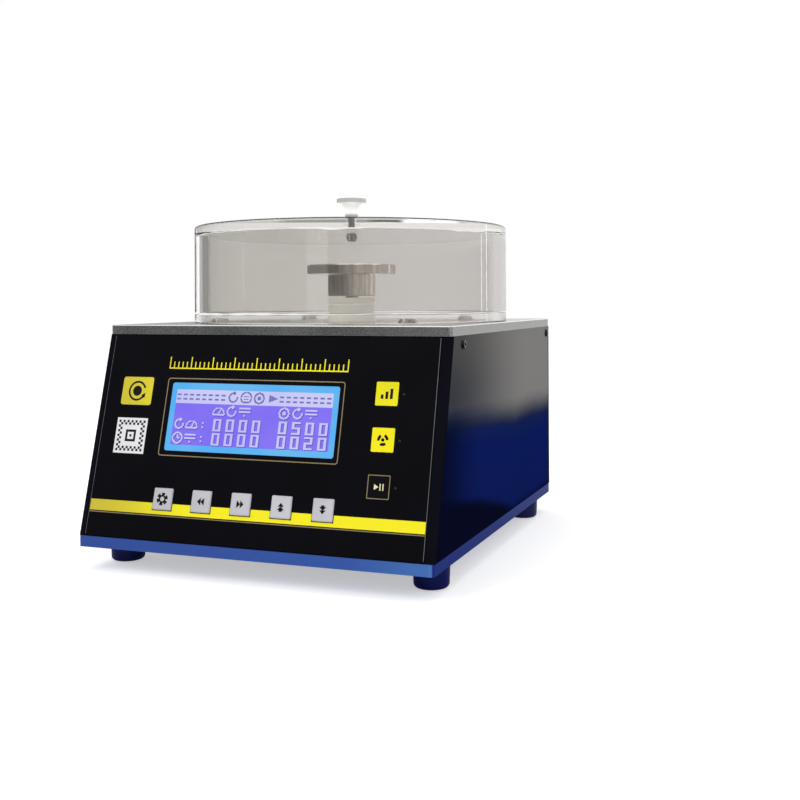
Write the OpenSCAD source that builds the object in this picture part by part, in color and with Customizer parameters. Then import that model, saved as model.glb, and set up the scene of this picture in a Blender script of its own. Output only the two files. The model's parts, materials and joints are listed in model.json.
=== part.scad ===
// Bench-top spin coater: a sloping control panel on a plate-and-post case, a hollow
// motor spindle with a vacuum chuck, and a clear lift-off lid over it.
// Millimetres, +Z up, the front faces -Y, the origin is under the middle of the case.

/* [Case] */
// Height of the case between the base plate and the deck
case_h = 111.4; // [108:0.2:140]
// Thickness of the base plate
base_t = 6; // [4:0.5:10]
// Thickness of the deck plate that the lid stands on
deck_t = 5.4; // [5:0.2:8]
// Corner radius of both plates
plate_corner_r = 2; // [0.5:0.5:5]
// Bevel along the top edge of the deck plate
deck_bevel = 0.5; // [0.2:0.1:1]
// Thickness of the side and rear sheets
sheet_t = 2; // [1:0.5:3]
// Width of the flanges that fasten the sheets
flange_w = 12; // [10:1:20]
// Side of the square corner posts
post_w = 14; // [12:1:20]
// Distance from the deck's front edge to the middle of the front posts
front_post_inset = 18; // [16:1:30]

/* [Feet] */
// Height of a rubber foot
foot_h = 12.8; // [8:0.2:25]
// Diameter of a rubber foot at the base plate
foot_d = 20; // [16:0.5:30]
// How much narrower a foot is at the floor
foot_taper = 1; // [0:0.2:4]
// Rounding of a foot's lower edge
foot_round = 2.4; // [1:0.2:4]
// Distance from the case's side to the middle of a foot
foot_side_inset = 11.8; // [11:0.2:30]
// Distance from the base plate's front or rear edge to the middle of a foot
foot_end_inset = 29.8; // [20:0.2:50]

/* [Front panel] */
// Lean of the front panel from upright, in degrees
panel_tilt = 15; // [8:1:20]
// Thickness of the front panel's face
face_t = 3; // [2:0.5:4]
// Setback of the face behind the plates' front edges
face_setback = 0.9; // [0.7:0.1:2]
// Width of the printed overlay
overlay_w = 200.4; // [170:0.2:206]
// Bare margin above and below the printed overlay
overlay_margin = 0.65; // [0.3:0.05:3]
// Sideways shift of the overlay from the middle of the case
overlay_shift = -0.9; // [-2:0.1:2]
// Thickness of the printed overlay
overlay_t = 0.6; // [0.3:0.1:0.7]

/* [Display] */
// Width of the display's view area
view_w = 103; // [90:0.5:106]
// Height of the display's view area
view_h = 38.2; // [30:0.2:42]
// Sideways place of the display's middle
view_x = -6.6; // [-12:0.2:0]
// Height of the display's middle above the panel's foot
view_v = 68.4; // [64:0.2:72]
// Width of the display module's frame around the view area
display_rim = 4; // [3:0.5:6]
// Depth of the display module behind the panel's face
display_depth = 11; // [8:0.5:12]

/* [Keys] */
// Distance between neighbouring keys
key_pitch = 24.1; // [20:0.1:24.5]
// Side of the raised keys in the lower row
raised_key_w = 11.8; // [10:0.1:14]
// Side of the flat keys in the right column
flat_key_w = 12.6; // [10:0.1:14]
// How far a raised key stands out of the overlay
raised_key_h = 1; // [0.6:0.1:2]
// How far a flat key stands out of the overlay
flat_key_h = 0.3; // [0.2:0.1:0.6]
// Travel of every key
key_travel = 0.4; // [0.2:0.05:0.45]
// Sideways place of the first key in the lower row
row_x = -54; // [-58:0.5:-50]
// Height of the lower row above the panel's foot
row_v = 22.7; // [20:0.1:28]
// Sideways place of the right column
column_x = 71.9; // [70:0.1:80]
// Height of the lowest key in the right column
column_v = 36.1; // [34:0.1:40]
// Diameter of a key's plunger behind the panel
plunger_d = 6; // [4:0.5:8]
// Distance from the panel's face to the keyboard
board_gap = 14; // [13:0.5:18]

/* [Lid] */
// Outer diameter of the clear lid
lid_d = 200; // [196:1:230]
// Wall thickness of the lid
lid_wall_t = 8; // [4:0.5:10]
// Height of the lid's wall between its seal and its top disc
lid_wall_h = 48.3; // [46:0.1:90]
// Thickness of the lid's top disc
lid_top_t = 6; // [4:0.5:8]
// Rounding of the top disc's upper rim
lid_rim_r = 1.6; // [0.4:0.2:2.5]
// Height of the clear seal under the wall
seal_h = 6; // [3:0.5:8]
// Deck margin in front of the lid
lid_front_margin = 11.7; // [8:0.1:25]
// Deck margin behind the lid
lid_rear_margin = 8.45; // [5:0.05:25]
// Deck margin at either side of the lid
lid_side_margin = 5; // [4:0.5:15]

/* [Lid knob] */
// Diameter of the knob's head
knob_d = 19.2; // [16:0.2:30]
// Height of the knob
knob_h = 21.2; // [18:0.2:30]
// Diameter of the knob's neck
knob_neck_d = 8.4; // [7:0.2:12]
// Height of the cylindrical band round the head
knob_band_h = 3.1; // [2:0.1:5]
// Height of the crown above the band
knob_crown_h = 1.7; // [0.5:0.1:3]
// Height of the flare under the head
knob_flare_h = 5.2; // [3:0.1:8]

/* [Chuck and spindle] */
// Diameter of the chuck's disc
chuck_d = 57.6; // [40:0.2:80]
// Thickness of the chuck's disc
chuck_t = 6; // [5:0.2:10]
// Diameter of the chuck's hub
hub_d = 30.8; // [24:0.2:36]
// Height of the chuck's hub
hub_h = 14.2; // [13:0.1:20]
// Gap between the hub and the collar below it
hub_gap = 1; // [0.5:0.1:2]
// Diameter of the fixed collar round the spindle
collar_d = 30.4; // [26:0.2:36]
// Height of the collar above the deck
collar_h = 15.3; // [12:0.1:25]
// Diameter of the spindle in its bearings
spindle_d = 8; // [7:0.5:9]
// Diameter of the vacuum bore through the spindle
vacuum_bore_d = 3; // [2:0.2:4]
// Length of the spindle's end inside the hub
spigot_l = 12.5; // [10:0.5:13]
// Diameter of the drive pin through the spindle
drive_pin_d = 3; // [2:0.2:4]
// Diameter of the sealing ring's groove in the chuck's face
chuck_seal_d = 44; // [36:1:50]
// Cord diameter of the chuck's sealing ring
chuck_seal_cord = 2; // [1.5:0.1:2.5]

/* [Motor] */
// Diameter of the motor's can
motor_d = 56; // [50:1:64]
// Length of the motor's can
motor_l = 50; // [44:1:54]
// Rim of the motor's plate outside its screws
motor_plate_rim = 8.6; // [7:0.2:14]
// Thickness of the plate that carries the motor
motor_plate_t = 6; // [5:0.5:8]
// Outer diameter of the spindle bearings
bearing_d = 22; // [19:1:24]
// Width of the spindle bearings
bearing_w = 7; // [5:0.5:8]

/* [Rear fittings] */
// Bore of the vacuum port, for 8 mm hose
port_bore_d = 8.1; // [6:0.1:10.2]
// Depth of the vacuum port's bore
port_bore_l = 16; // [10:0.5:20]
// How far the vacuum port stands behind the case
port_reach = 14; // [10:0.5:18]
// Sideways place of the power inlet, seen from the front
inlet_x = -60; // [-66:1:-40]
// Height of the power inlet above the base plate
inlet_z = 44; // [38:1:60]
// Sideways place of the pump outlet
outlet_x = -6; // [-12:1:4]
// Sideways place of the vacuum port
port_x = 58; // [40:1:70]
// Height of the vacuum port above the base plate
port_z = 76; // [60:1:84]

/* [Fits] */
// Radial clearance of a shaft that turns or slides in a bore
running_gap = 0.04; // [0.02:0.01:0.08]
// Clearance of pieces that are pushed or laid together
seat_gap = 0.05; // [0.02:0.01:0.1]
// Clearance round a screw in its hole
screw_gap = 0.1; // [0.05:0.05:0.3]
// Clearance round a key or another loose moving piece
play = 0.3; // [0.2:0.05:0.5]

/* [Hidden] */
$fn = 64;

// Levels and edges of the case
lean_run = case_h * tan(panel_tilt);
body_w = lid_d + 2 * lid_side_margin;
base_d = lean_run + lid_front_margin + lid_d + lid_rear_margin;
front_y = -(base_d + port_reach) / 2;
rear_y = front_y + base_d;
base_top = foot_h + base_t;
deck_z = base_top + case_h;
deck_top = deck_z + deck_t;
deck_front_y = front_y + lean_run;
axis_y = deck_front_y + lid_front_margin + lid_d / 2;
inner_x = body_w / 2 - sheet_t;
panel_l = case_h / cos(panel_tilt);
overlay_h = panel_l - 2 * overlay_margin;
panel_y = front_y + face_setback;
eps = 0.01;

// Posts
post_x = inner_x - seat_gap - post_w / 2;
front_post_y = deck_front_y + front_post_inset;
rear_post_y = rear_y - sheet_t - seat_gap - post_w / 2;
side_screw_drop = 4.6;
post_screw_l = 16;

// Screws: [shank diameter, head diameter, head height]
m3_button = [3, 5.7, 1.65];
m3_pan = [3, 5.6, 2.2];
m4_flat = [4, 8, 2.4];
m4_pan = [4, 7.6, 2.6];
m4_cap = [4, 7, 4];
m6_button = [6, 12, 2.75];

// Chuck stack, heights above the deck
hub_z = collar_h + hub_gap;
disc_z = hub_z + hub_h;
chuck_top = disc_z + chuck_t;
spindle_top = hub_z + spigot_l;
pin_z = hub_z + drive_pin_d / 2 + 1.2;

// Motor stack, depths below the deck's underside
flange_t = 4;
can_top = motor_plate_t + flange_t;
cap_t = 7;
can_wall = 2.5;
can_foot = can_top + motor_l;
cap_foot = can_foot + cap_t;
union_h = 20;
union_d = 24;
upper_bearing_z = can_top + 1;
lower_bearing_z = can_foot + bearing_w / 2 - 2;
spindle_foot = cap_foot + 9;
shoulder_d = spindle_d + 3;
rotor_d = 27;
air_gap = 0.5;
stator_d = motor_d - 2 * can_wall - 2 * seat_gap;
stack_l = 28;
motor_screw_pcd = motor_d - 12;

// Panel places, [sideways, up the panel]
ROW_KEYS = [for (i = [0 : 4]) [row_x + i * key_pitch, row_v]];
COLUMN_KEYS = [for (i = [0 : 2]) [column_x, column_v + i * key_pitch]];
led_offset = flat_key_w / 2 + 2.9;
led_d = 1.2;
window_r = 1.4;
key_corner_r = 0.7;
board_t = 1.6;
switch_h = board_gap - face_t - 3.6;
keyboard_margin = 16;
lead_d = 5;

// ---------------------------------------------------------------- helpers

// Places children with z along the outward normal of the sloping panel
module on_panel(x = 0, v = 0, w = 0) {
    translate([0, panel_y, base_top])
        rotate([90 - panel_tilt, 0, 0])
            translate([x, v, w])
                children();
}

// Places children on the rear sheet with z pointing out of the case
module on_rear(x = 0, z = 0) {
    translate([x, rear_y, base_top + z])
        rotate([90, 0, 180])
            children();
}

// Places children on the chuck's axis at a height above the deck
module on_axis(z = 0) {
    translate([0, axis_y, deck_top + z])
        children();
}

// Places children on the chuck's axis at a depth below the deck's underside
module under_deck(depth = 0) {
    translate([0, axis_y, deck_z - depth])
        children();
}

module rounded_rect(w, h, r) {
    hw = w / 2 - r;
    hh = h / 2 - r;
    square([w - 2 * r, h], center = true);
    square([w, h - 2 * r], center = true);
    for (x = [-hw, hw], y = [-hh, hh])
        translate([x, y])
            circle(r, $fn = 32);
}

module ring(od, id, h) {
    difference() {
        cylinder(d = od, h = h);
        translate([0, 0, -eps])
            cylinder(d = id, h = h + 2 * eps);
    }
}

// A screw with its head's seat at z = 0 and its shank going down
module seated_screw(kind, length, drive = 0.45) {
    difference() {
        union() {
            translate([0, 0, -length])
                cylinder(d = kind[0], h = length + eps);
            cylinder(d1 = kind[1], d2 = kind[1] * 0.72, h = kind[2]);
        }
        translate([0, 0, kind[2] * 0.4])
            cylinder(d = kind[1] * drive, h = kind[2], $fn = 6);
    }
}

// A countersunk screw whose head ends flush at z = 0
module flat_screw(kind, length) {
    difference() {
        union() {
            translate([0, 0, -kind[2]])
                cylinder(d1 = kind[0], d2 = kind[1], h = kind[2]);
            translate([0, 0, -length])
                cylinder(d = kind[0], h = length - kind[2] + eps);
        }
        translate([0, 0, -kind[2] * 0.6])
            cylinder(d = kind[0] * 0.65, h = kind[2], $fn = 6);
    }
}

// The hole that a flat screw needs, clear by screw_gap all round
module flat_screw_hole(kind, length) {
    translate([0, 0, -kind[2] - screw_gap])
        cylinder(d1 = kind[0] + 2 * screw_gap, d2 = kind[1] + 2 * screw_gap, h = kind[2] + screw_gap);
    translate([0, 0, -length - screw_gap])
        cylinder(d = kind[0] + 2 * screw_gap, h = length);
    cylinder(d = kind[1] + 2 * screw_gap, h = 1);
}

module mirrored_x() {
    children();
    mirror([1, 0, 0])
        children();
}

function unit(v) = v / norm(v);

// One point of a smooth curve through the points, t running from 0 to their last index
function spline_at(p, t) =
    let (n = len(p) - 1, i = min(floor(t), n - 1), f = t - i)
    let (a = p[max(i - 1, 0)], b = p[i], c = p[i + 1], d = p[min(i + 2, n)])
    0.5 * (2 * b + (c - a) * f + (2 * a - 5 * b + 4 * c - d) * f * f
        + (3 * b - a - 3 * c + d) * f * f * f);

// Normals carried along the tangents without twist
function carried(t, i = 0, n = undef) =
    i >= len(t) ? [] :
    let (seed = is_undef(n) ? cross(t[0], abs(t[0][2]) < 0.9 ? [0, 0, 1] : [1, 0, 0]) : n)
    let (m = unit(seed - (seed * t[i]) * t[i]))
    concat([m], carried(t, i + 1, m));

// A round tube of the given diameter: straight at both ends, a smooth curve through the points between
module swept_tube(points, d, steps = 4, sides = 8) {
    last_point = len(points) - 1;
    path = concat(
        [points[0]],
        [for (i = [steps : (last_point - 1) * steps]) spline_at(points, i / steps)],
        [points[last_point]]
    );
    count = len(path) - 1;
    tangents = [for (i = [0 : count]) unit(path[min(i + 1, count)] - path[max(i - 1, 0)])];
    normals = carried(tangents);
    rings = [for (i = [0 : count], k = [0 : sides - 1])
        let (a = 360 * k / sides, side = cross(tangents[i], normals[i]))
        path[i] + d / 2 * (cos(a) * normals[i] + sin(a) * side)];
    walls = [for (i = [0 : count - 1], k = [0 : sides - 1])
        let (a = i * sides + k, b = i * sides + (k + 1) % sides)
        [a, a + sides, b + sides, b]];
    first = [for (k = [0 : sides - 1]) k];
    last = [for (k = [0 : sides - 1]) count * sides + sides - 1 - k];
    polyhedron(rings, concat([first], walls, [last]), convexity = 6);
}

// ---------------------------------------------------------------- case

// Middles of the screws that hold both plates to the posts
POSTS = [
    [post_x, front_post_y], [-post_x, front_post_y],
    [post_x, rear_post_y], [-post_x, rear_post_y]
];

// Middles of the screws through the sheets' lower flanges
flange_x = inner_x - seat_gap - flange_w / 2;
flange_front_y = front_post_y + post_w / 2 + 4;
flange_rear_y = rear_post_y - post_w / 2 - 4;
flange_screw_inset = 18;
FLANGE_SCREWS = [
    [flange_x, flange_front_y + flange_screw_inset],
    [-flange_x, flange_front_y + flange_screw_inset],
    [flange_x, flange_rear_y - flange_screw_inset],
    [-flange_x, flange_rear_y - flange_screw_inset]
];

// The front panel's flanges, and the screws through them
face_flange_w = 14;
face_flange_l = body_w - 50;
face_screw_x = face_flange_l / 2 - 12;
face_back = face_t / cos(panel_tilt);
low_flange_screw_y = panel_y + face_back + face_flange_w / 2;
high_flange_screw_y = panel_y + lean_run + face_back + face_flange_w / 2;

FEET = [
    for (x = [-1, 1], y = [front_y + foot_end_inset, rear_y - foot_end_inset])
        [x * (body_w / 2 - foot_side_inset), y]
];
foot_bore_d = 9;
foot_floor = 5;
foot_screw_l = foot_floor + base_t - 0.6 - 0.4;

vent_w = 3;
vent_pitch = 7;
vent_l = 40;

module vents(count, length) {
    for (i = [0 : count - 1])
        translate([(i - (count - 1) / 2) * vent_pitch, 0])
            rounded_rect(vent_w, length, vent_w / 2 - eps);
}

module plate_outline(y0, y1) {
    translate([0, (y0 + y1) / 2])
        rounded_rect(body_w, y1 - y0, plate_corner_r);
}

module base_plate() {
    color([0.24, 0.38, 0.75])
    difference() {
        translate([0, 0, foot_h])
            linear_extrude(base_t)
                plate_outline(front_y, rear_y);
        for (p = concat(POSTS, FLANGE_SCREWS))
            translate([p[0], p[1], foot_h])
                mirror([0, 0, 1])
                    flat_screw_hole(m4_flat, base_t + 1);
        for (s = [-1, 1])
            translate([s * face_screw_x, low_flange_screw_y, foot_h])
                mirror([0, 0, 1])
                    flat_screw_hole(m4_flat, base_t + 1);
        for (p = FEET)
            translate([p[0], p[1], foot_h - eps])
                cylinder(d = m4_pan[0] + 2 * screw_gap, h = base_t - 0.6);
        for (x = [-supply_x, board_x])
            translate([x, axis_y, foot_h - eps])
                linear_extrude(base_t + 2 * eps)
                    vents(5, vent_l);
    }
}

module deck_plate() {
    color([0.55, 0.55, 0.56])
    difference() {
        union() {
            translate([0, 0, deck_z])
                linear_extrude(deck_t - deck_bevel)
                    plate_outline(deck_front_y, rear_y);
            hull()
                for (i = [0, 1])
                    translate([0, 0, deck_top - deck_bevel + i * (deck_bevel - eps)])
                        linear_extrude(eps)
                            translate([0, (deck_front_y + rear_y) / 2])
                                rounded_rect(
                                    body_w - 2 * i * deck_bevel,
                                    rear_y - deck_front_y - 2 * i * deck_bevel,
                                    plate_corner_r, $fn = 32);
        }
        for (p = POSTS)
            translate([p[0], p[1], deck_top])
                flat_screw_hole(m4_flat, deck_t + 1);
        for (s = [-1, 1])
            translate([s * face_screw_x, high_flange_screw_y, deck_top])
                flat_screw_hole(m4_flat, deck_t + 1);
        on_axis(-deck_t - 1)
            cylinder(d = collar_spigot_d + 2 * seat_gap, h = deck_t + 2);
        for (p = DECK_SCREWS)
            on_axis(-deck_t - 1)
                translate(p)
                    cylinder(d = m6_button[0] + 2 * screw_gap, h = deck_t + 2);
    }
}

module corner_posts() {
    color([0.7, 0.7, 0.72])
    for (p = POSTS) {
        side = sign(p[0]);
        translate([p[0], p[1], base_top])
            difference() {
                translate([-post_w / 2, -post_w / 2, 0])
                    cube([post_w, post_w, case_h]);
                for (z = [-eps, case_h - post_screw_l + base_t])
                    translate([0, 0, z])
                        cylinder(d = m4_flat[0] + 2 * screw_gap, h = post_screw_l - base_t + eps);
                translate([side * post_w / 2, 0, case_h - side_screw_drop])
                    rotate([0, -side * 90, 0])
                        translate([0, 0, -eps])
                            cylinder(d = m3_button[0] + 2 * screw_gap, h = 4);
                if (p[1] > axis_y)
                    for (z = REAR_SCREW_Z)
                        translate([0, post_w / 2 - 4, z])
                            rotate([-90, 0, 0])
                                cylinder(d = m3_button[0] + 2 * screw_gap, h = 5);
            }
    }
}

SIDE_SCREW_Y = [front_post_y, rear_post_y];
REAR_SCREW_Z = [16, case_h - 16];

// Outline of a side sheet in Y and height above the base plate
module side_outline() {
    back = face_t + seat_gap;
    front_low = panel_y + back / cos(panel_tilt);
    polygon([
        [front_low, 0],
        [rear_y - sheet_t - seat_gap, 0],
        [rear_y - sheet_t - seat_gap, case_h],
        [front_low + lean_run, case_h]
    ]);
}

// The right-hand side sheet with its lower flange
module side_sheet() {
    difference() {
        union() {
            translate([inner_x, 0, base_top])
                rotate([90, 0, 90])
                    linear_extrude(sheet_t)
                        side_outline();
            translate([inner_x - flange_w, flange_front_y, base_top])
                cube([flange_w + eps, flange_rear_y - flange_front_y, sheet_t]);
        }
        for (y = SIDE_SCREW_Y)
            translate([inner_x - 1, y, deck_z - side_screw_drop])
                rotate([0, 90, 0])
                    cylinder(d = m3_button[0] + 2 * screw_gap, h = sheet_t + 2);
        for (p = FLANGE_SCREWS)
            translate([p[0], p[1], base_top - 1])
                cylinder(d = m4_flat[0] + 2 * screw_gap, h = sheet_t + 2);
    }
}

module right_side_panel() {
    color([0.2, 0.22, 0.35])
        side_sheet();
}

module left_side_panel() {
    color([0.2, 0.22, 0.35])
        mirror([1, 0, 0])
            side_sheet();
}

module front_panel() {
    opening_w = view_w + 2 * display_rim + 2 * play;
    opening_h = view_h + 2 * display_rim + 2 * play;
    color([0.07, 0.07, 0.09])
    difference() {
        union() {
            intersection() {
                on_panel(0, panel_l / 2, -face_t)
                    translate([-body_w / 2, -panel_l, 0])
                        cube([body_w, 2 * panel_l, face_t]);
                translate([-body_w / 2, front_y, base_top])
                    cube([body_w, base_d, case_h]);
            }
            translate([-face_flange_l / 2, panel_y + face_back / 2, base_top])
                cube([face_flange_l, face_back / 2 + face_flange_w, sheet_t]);
            translate([-face_flange_l / 2, panel_y + lean_run + face_back / 2, deck_z - sheet_t])
                cube([face_flange_l, face_back / 2 + face_flange_w, sheet_t]);
        }
        on_panel(view_x, view_v, -2 * face_t)
            translate([-opening_w / 2, -opening_h / 2, 0])
                cube([opening_w, opening_h, 3 * face_t]);
        for (k = concat(ROW_KEYS, COLUMN_KEYS))
            on_panel(k[0], k[1], -2 * face_t)
                cylinder(d = plunger_d + 2 * play, h = 3 * face_t);
        for (k = COLUMN_KEYS)
            on_panel(k[0] + led_offset, k[1], -2 * face_t)
                cylinder(d = led_d + 2 * seat_gap, h = 3 * face_t, $fn = 24);
        for (s = [-1, 1], at = [
            [low_flange_screw_y, base_top - 1],
            [high_flange_screw_y, deck_z - sheet_t - 1]
        ])
            translate([s * face_screw_x, at[0], at[1]])
                cylinder(d = m4_flat[0] + 2 * screw_gap, h = sheet_t + 2);
    }
}

outlet_z = inlet_z;
inlet_cut = [28, 48];
outlet_cut = [28, 23];
port_d = 12;
rear_vent_l = 20;
rear_vent_z = case_h - rear_vent_l / 2 - 12;
rear_vent_x = -34;

module rear_panel() {
    color([0.07, 0.07, 0.09])
    difference() {
        translate([-body_w / 2, rear_y - sheet_t, base_top])
            cube([body_w, sheet_t, case_h]);
        on_rear(inlet_x, inlet_z)
            translate([0, 0, -sheet_t - 1])
                linear_extrude(sheet_t + 2)
                    square(inlet_cut, center = true);
        on_rear(outlet_x, outlet_z)
            translate([0, 0, -sheet_t - 1])
                linear_extrude(sheet_t + 2)
                    square(outlet_cut, center = true);
        on_rear(port_x, port_z)
            translate([0, 0, -sheet_t - 1])
                cylinder(d = port_d + 2 * seat_gap, h = sheet_t + 2);
        on_rear(rear_vent_x, rear_vent_z)
            translate([0, 0, -sheet_t - 1])
                linear_extrude(sheet_t + 2)
                    vents(10, rear_vent_l);
        for (x = [-post_x, post_x], z = REAR_SCREW_Z)
            on_rear(x, z)
                translate([0, 0, -sheet_t - 1])
                    cylinder(d = m3_button[0] + 2 * screw_gap, h = sheet_t + 2);
    }
}

module rubber_feet() {
    r_top = foot_d / 2;
    r_low = r_top - foot_taper / 2;
    color([0.06, 0.07, 0.18])
    for (p = FEET)
        translate([p[0], p[1], 0])
            difference() {
                rotate_extrude()
                    union() {
                        polygon([
                            [0, 0], [r_low - foot_round, 0], [r_low, foot_round],
                            [r_top, foot_h], [0, foot_h]
                        ]);
                        translate([r_low - foot_round, foot_round])
                            circle(foot_round, $fn = 48);
                    }
                translate([0, 0, -eps])
                    cylinder(d = foot_bore_d, h = foot_h - foot_floor + eps);
                cylinder(d = m4_pan[0] + 2 * screw_gap, h = foot_h + 1);
            }
}

module foot_screws() {
    color([0.75, 0.75, 0.77])
    for (p = FEET)
        translate([p[0], p[1], foot_h - foot_floor])
            mirror([0, 0, 1])
                seated_screw(m4_pan, foot_screw_l);
}

module plate_screws() {
    color([0.3, 0.3, 0.32]) {
        for (p = POSTS) {
            translate([p[0], p[1], deck_top])
                flat_screw(m4_flat, post_screw_l - base_t + deck_t - 0.5);
            translate([p[0], p[1], foot_h])
                mirror([0, 0, 1])
                    flat_screw(m4_flat, post_screw_l - 0.5);
        }
        for (p = FLANGE_SCREWS)
            translate([p[0], p[1], foot_h])
                mirror([0, 0, 1])
                    flat_screw(m4_flat, base_t + sheet_t);
        for (s = [-1, 1]) {
            translate([s * face_screw_x, low_flange_screw_y, foot_h])
                mirror([0, 0, 1])
                    flat_screw(m4_flat, base_t + sheet_t);
            translate([s * face_screw_x, high_flange_screw_y, deck_top])
                flat_screw(m4_flat, deck_t + sheet_t);
        }
    }
}

module panel_screws() {
    color([0.05, 0.05, 0.06]) {
        for (y = SIDE_SCREW_Y)
            mirrored_x()
                translate([body_w / 2, y, deck_z - side_screw_drop])
                    rotate([0, 90, 0])
                        seated_screw(m3_button, sheet_t + 3.6);
        for (x = [-post_x, post_x], z = REAR_SCREW_Z)
            on_rear(x, z)
                seated_screw(m3_button, sheet_t + 3.6);
    }
}

// ---------------------------------------------------------------- control panel

module key_outlines(extra) {
    for (k = ROW_KEYS)
        translate(k)
            rounded_rect(raised_key_w + 2 * extra, raised_key_w + 2 * extra, key_corner_r);
    for (k = COLUMN_KEYS)
        translate(k)
            rounded_rect(flat_key_w + 2 * extra, flat_key_w + 2 * extra, key_corner_r);
}

module panel_overlay() {
    color([0.05, 0.05, 0.07])
    on_panel()
        linear_extrude(overlay_t)
            difference() {
                translate([overlay_shift, panel_l / 2])
                    square([overlay_w, overlay_h], center = true);
                translate([view_x, view_v])
                    rounded_rect(view_w, view_h, window_r);
                key_outlines(play);
                for (k = COLUMN_KEYS)
                    translate([k[0] + led_offset, k[1]])
                        circle(d = led_d + 2 * seat_gap, $fn = 24);
            }
}

module display_window() {
    color([0.3, 0.6, 0.9])
    on_panel(view_x, view_v, 0)
        linear_extrude(overlay_t - 0.1)
            rounded_rect(view_w - 2 * seat_gap, view_h - 2 * seat_gap, window_r);
}

module display_module() {
    frame_w = view_w + 2 * display_rim;
    frame_h = view_h + 2 * display_rim;
    color([0.25, 0.3, 0.8])
    on_panel(view_x, view_v, -seat_gap) {
        translate([0, 0, -face_t])
            linear_extrude(face_t)
                square([frame_w, frame_h], center = true);
        translate([0, 0, -display_depth + 4])
            linear_extrude(display_depth - 4 - face_t - seat_gap)
                square([frame_w + 6, frame_h + 4], center = true);
        translate([0, 0, -display_depth])
            linear_extrude(4 + eps)
                square([frame_w - 10, frame_h - 6], center = true);
    }
}

// The keyboard spans the display, the row and the column
board_left = view_x - view_w / 2 - keyboard_margin;
board_right = column_x + led_offset + 4;
board_foot = row_v - 10;
board_head = max(view_v + view_h / 2, column_v + 2 * key_pitch) + 8;
BOARD_POSTS = [
    for (x = [board_left + 4, board_right - 4], v = [board_foot + 4, board_head - 4]) [x, v]
];
board_post_bore = m3_pan[0] + 2 * screw_gap;
header_w = 41;

module display_board() {
    color([0.05, 0.35, 0.15])
    on_panel(0, 0, -board_gap - board_t)
        difference() {
            union() {
                linear_extrude(board_t)
                    translate([board_left, board_foot])
                        square([board_right - board_left, board_head - board_foot]);
                translate([view_x - header_w / 2, view_v + view_h / 2 - 6, board_t - eps])
                    cube([header_w, 5, board_gap - display_depth - 2 * seat_gap + eps]);
            }
            for (p = BOARD_POSTS)
                translate([p[0], p[1], -1])
                    cylinder(d = board_post_bore, h = board_t + 2, $fn = 32);
        }
}

module key_switches() {
    color([0.15, 0.15, 0.16])
    for (k = concat(ROW_KEYS, COLUMN_KEYS))
        on_panel(k[0], k[1], -board_gap) {
            translate([-3, -3, 0])
                cube([6, 6, switch_h - 1.5]);
            translate([0, 0, switch_h - 1.5 - eps])
                cylinder(d = 3.4, h = 1.5 + eps, $fn = 32);
        }
}

// A square key: a bevelled cap over the panel and a round plunger behind it
module key(at, width, height) {
    lift = overlay_t + height;
    under = key_travel + play / 2;
    bevel = min(0.5, height / 2);
    plunger_l = board_gap - switch_h - key_travel - 0.1;
    on_panel(at[0], at[1], 0) {
        hull() {
            translate([0, 0, under])
                linear_extrude(lift - bevel - under)
                    rounded_rect(width, width, key_corner_r, $fn = 32);
            translate([0, 0, lift - eps])
                linear_extrude(eps)
                    rounded_rect(width - 2 * bevel, width - 2 * bevel, key_corner_r / 2, $fn = 32);
        }
        translate([0, 0, -plunger_l])
            cylinder(d = plunger_d, h = plunger_l + under + eps);
    }
}

module key_set() { color([0.7, 0.7, 0.72]) key(ROW_KEYS[0], raised_key_w, raised_key_h); }
module key_left() { color([0.7, 0.7, 0.72]) key(ROW_KEYS[1], raised_key_w, raised_key_h); }
module key_right() { color([0.7, 0.7, 0.72]) key(ROW_KEYS[2], raised_key_w, raised_key_h); }
module key_up() { color([0.7, 0.7, 0.72]) key(ROW_KEYS[3], raised_key_w, raised_key_h); }
module key_down() { color([0.7, 0.7, 0.72]) key(ROW_KEYS[4], raised_key_w, raised_key_h); }
module key_mode() { color([0.95, 0.85, 0.1]) key(COLUMN_KEYS[2], flat_key_w, flat_key_h); }
module key_pump() { color([0.95, 0.85, 0.1]) key(COLUMN_KEYS[1], flat_key_w, flat_key_h); }
module key_start() { color([0.1, 0.1, 0.1]) key(COLUMN_KEYS[0], flat_key_w, flat_key_h); }

module status_leds() {
    color([0.8, 0.8, 0.8])
    for (k = COLUMN_KEYS)
        on_panel(k[0] + led_offset, k[1], -board_gap) {
            cylinder(d = led_d, h = board_gap + overlay_t - 0.1, $fn = 24);
            cylinder(d = 3, h = 4, $fn = 24);
        }
}

// ---------------------------------------------------------------- motor and spindle

deck_screw_clear = 0.7;
deck_screw_r = lid_d / 2 - lid_wall_t - m6_button[1] / 2 - deck_screw_clear;
motor_plate_w = 2 * (deck_screw_r * cos(45) + motor_plate_rim);
DECK_SCREWS = [
    for (a = [45 : 90 : 315]) [deck_screw_r * cos(a), deck_screw_r * sin(a), 0]
];
deck_screw_l = deck_t + motor_plate_t - 1;
collar_spigot_d = 19.6;
collar_bore_d = 13;

module motor_plate() {
    color([0.7, 0.7, 0.72])
    under_deck(motor_plate_t)
        difference() {
            linear_extrude(motor_plate_t)
                rounded_rect(motor_plate_w, motor_plate_w, 6);
            translate([0, 0, -1])
                cylinder(d = bearing_d + 2 * seat_gap + 4, h = motor_plate_t + 2);
            for (p = DECK_SCREWS)
                translate([p[0], p[1], -1])
                    cylinder(d = m6_button[0] + 2 * screw_gap, h = motor_plate_t + 2);
            for (a = [0 : 90 : 270])
                rotate(a)
                    translate([motor_screw_pcd / 2, 0, -eps])
                        cylinder(d = m4_cap[0] + 2 * screw_gap, h = motor_plate_t - 0.8);
        }
}

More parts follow.
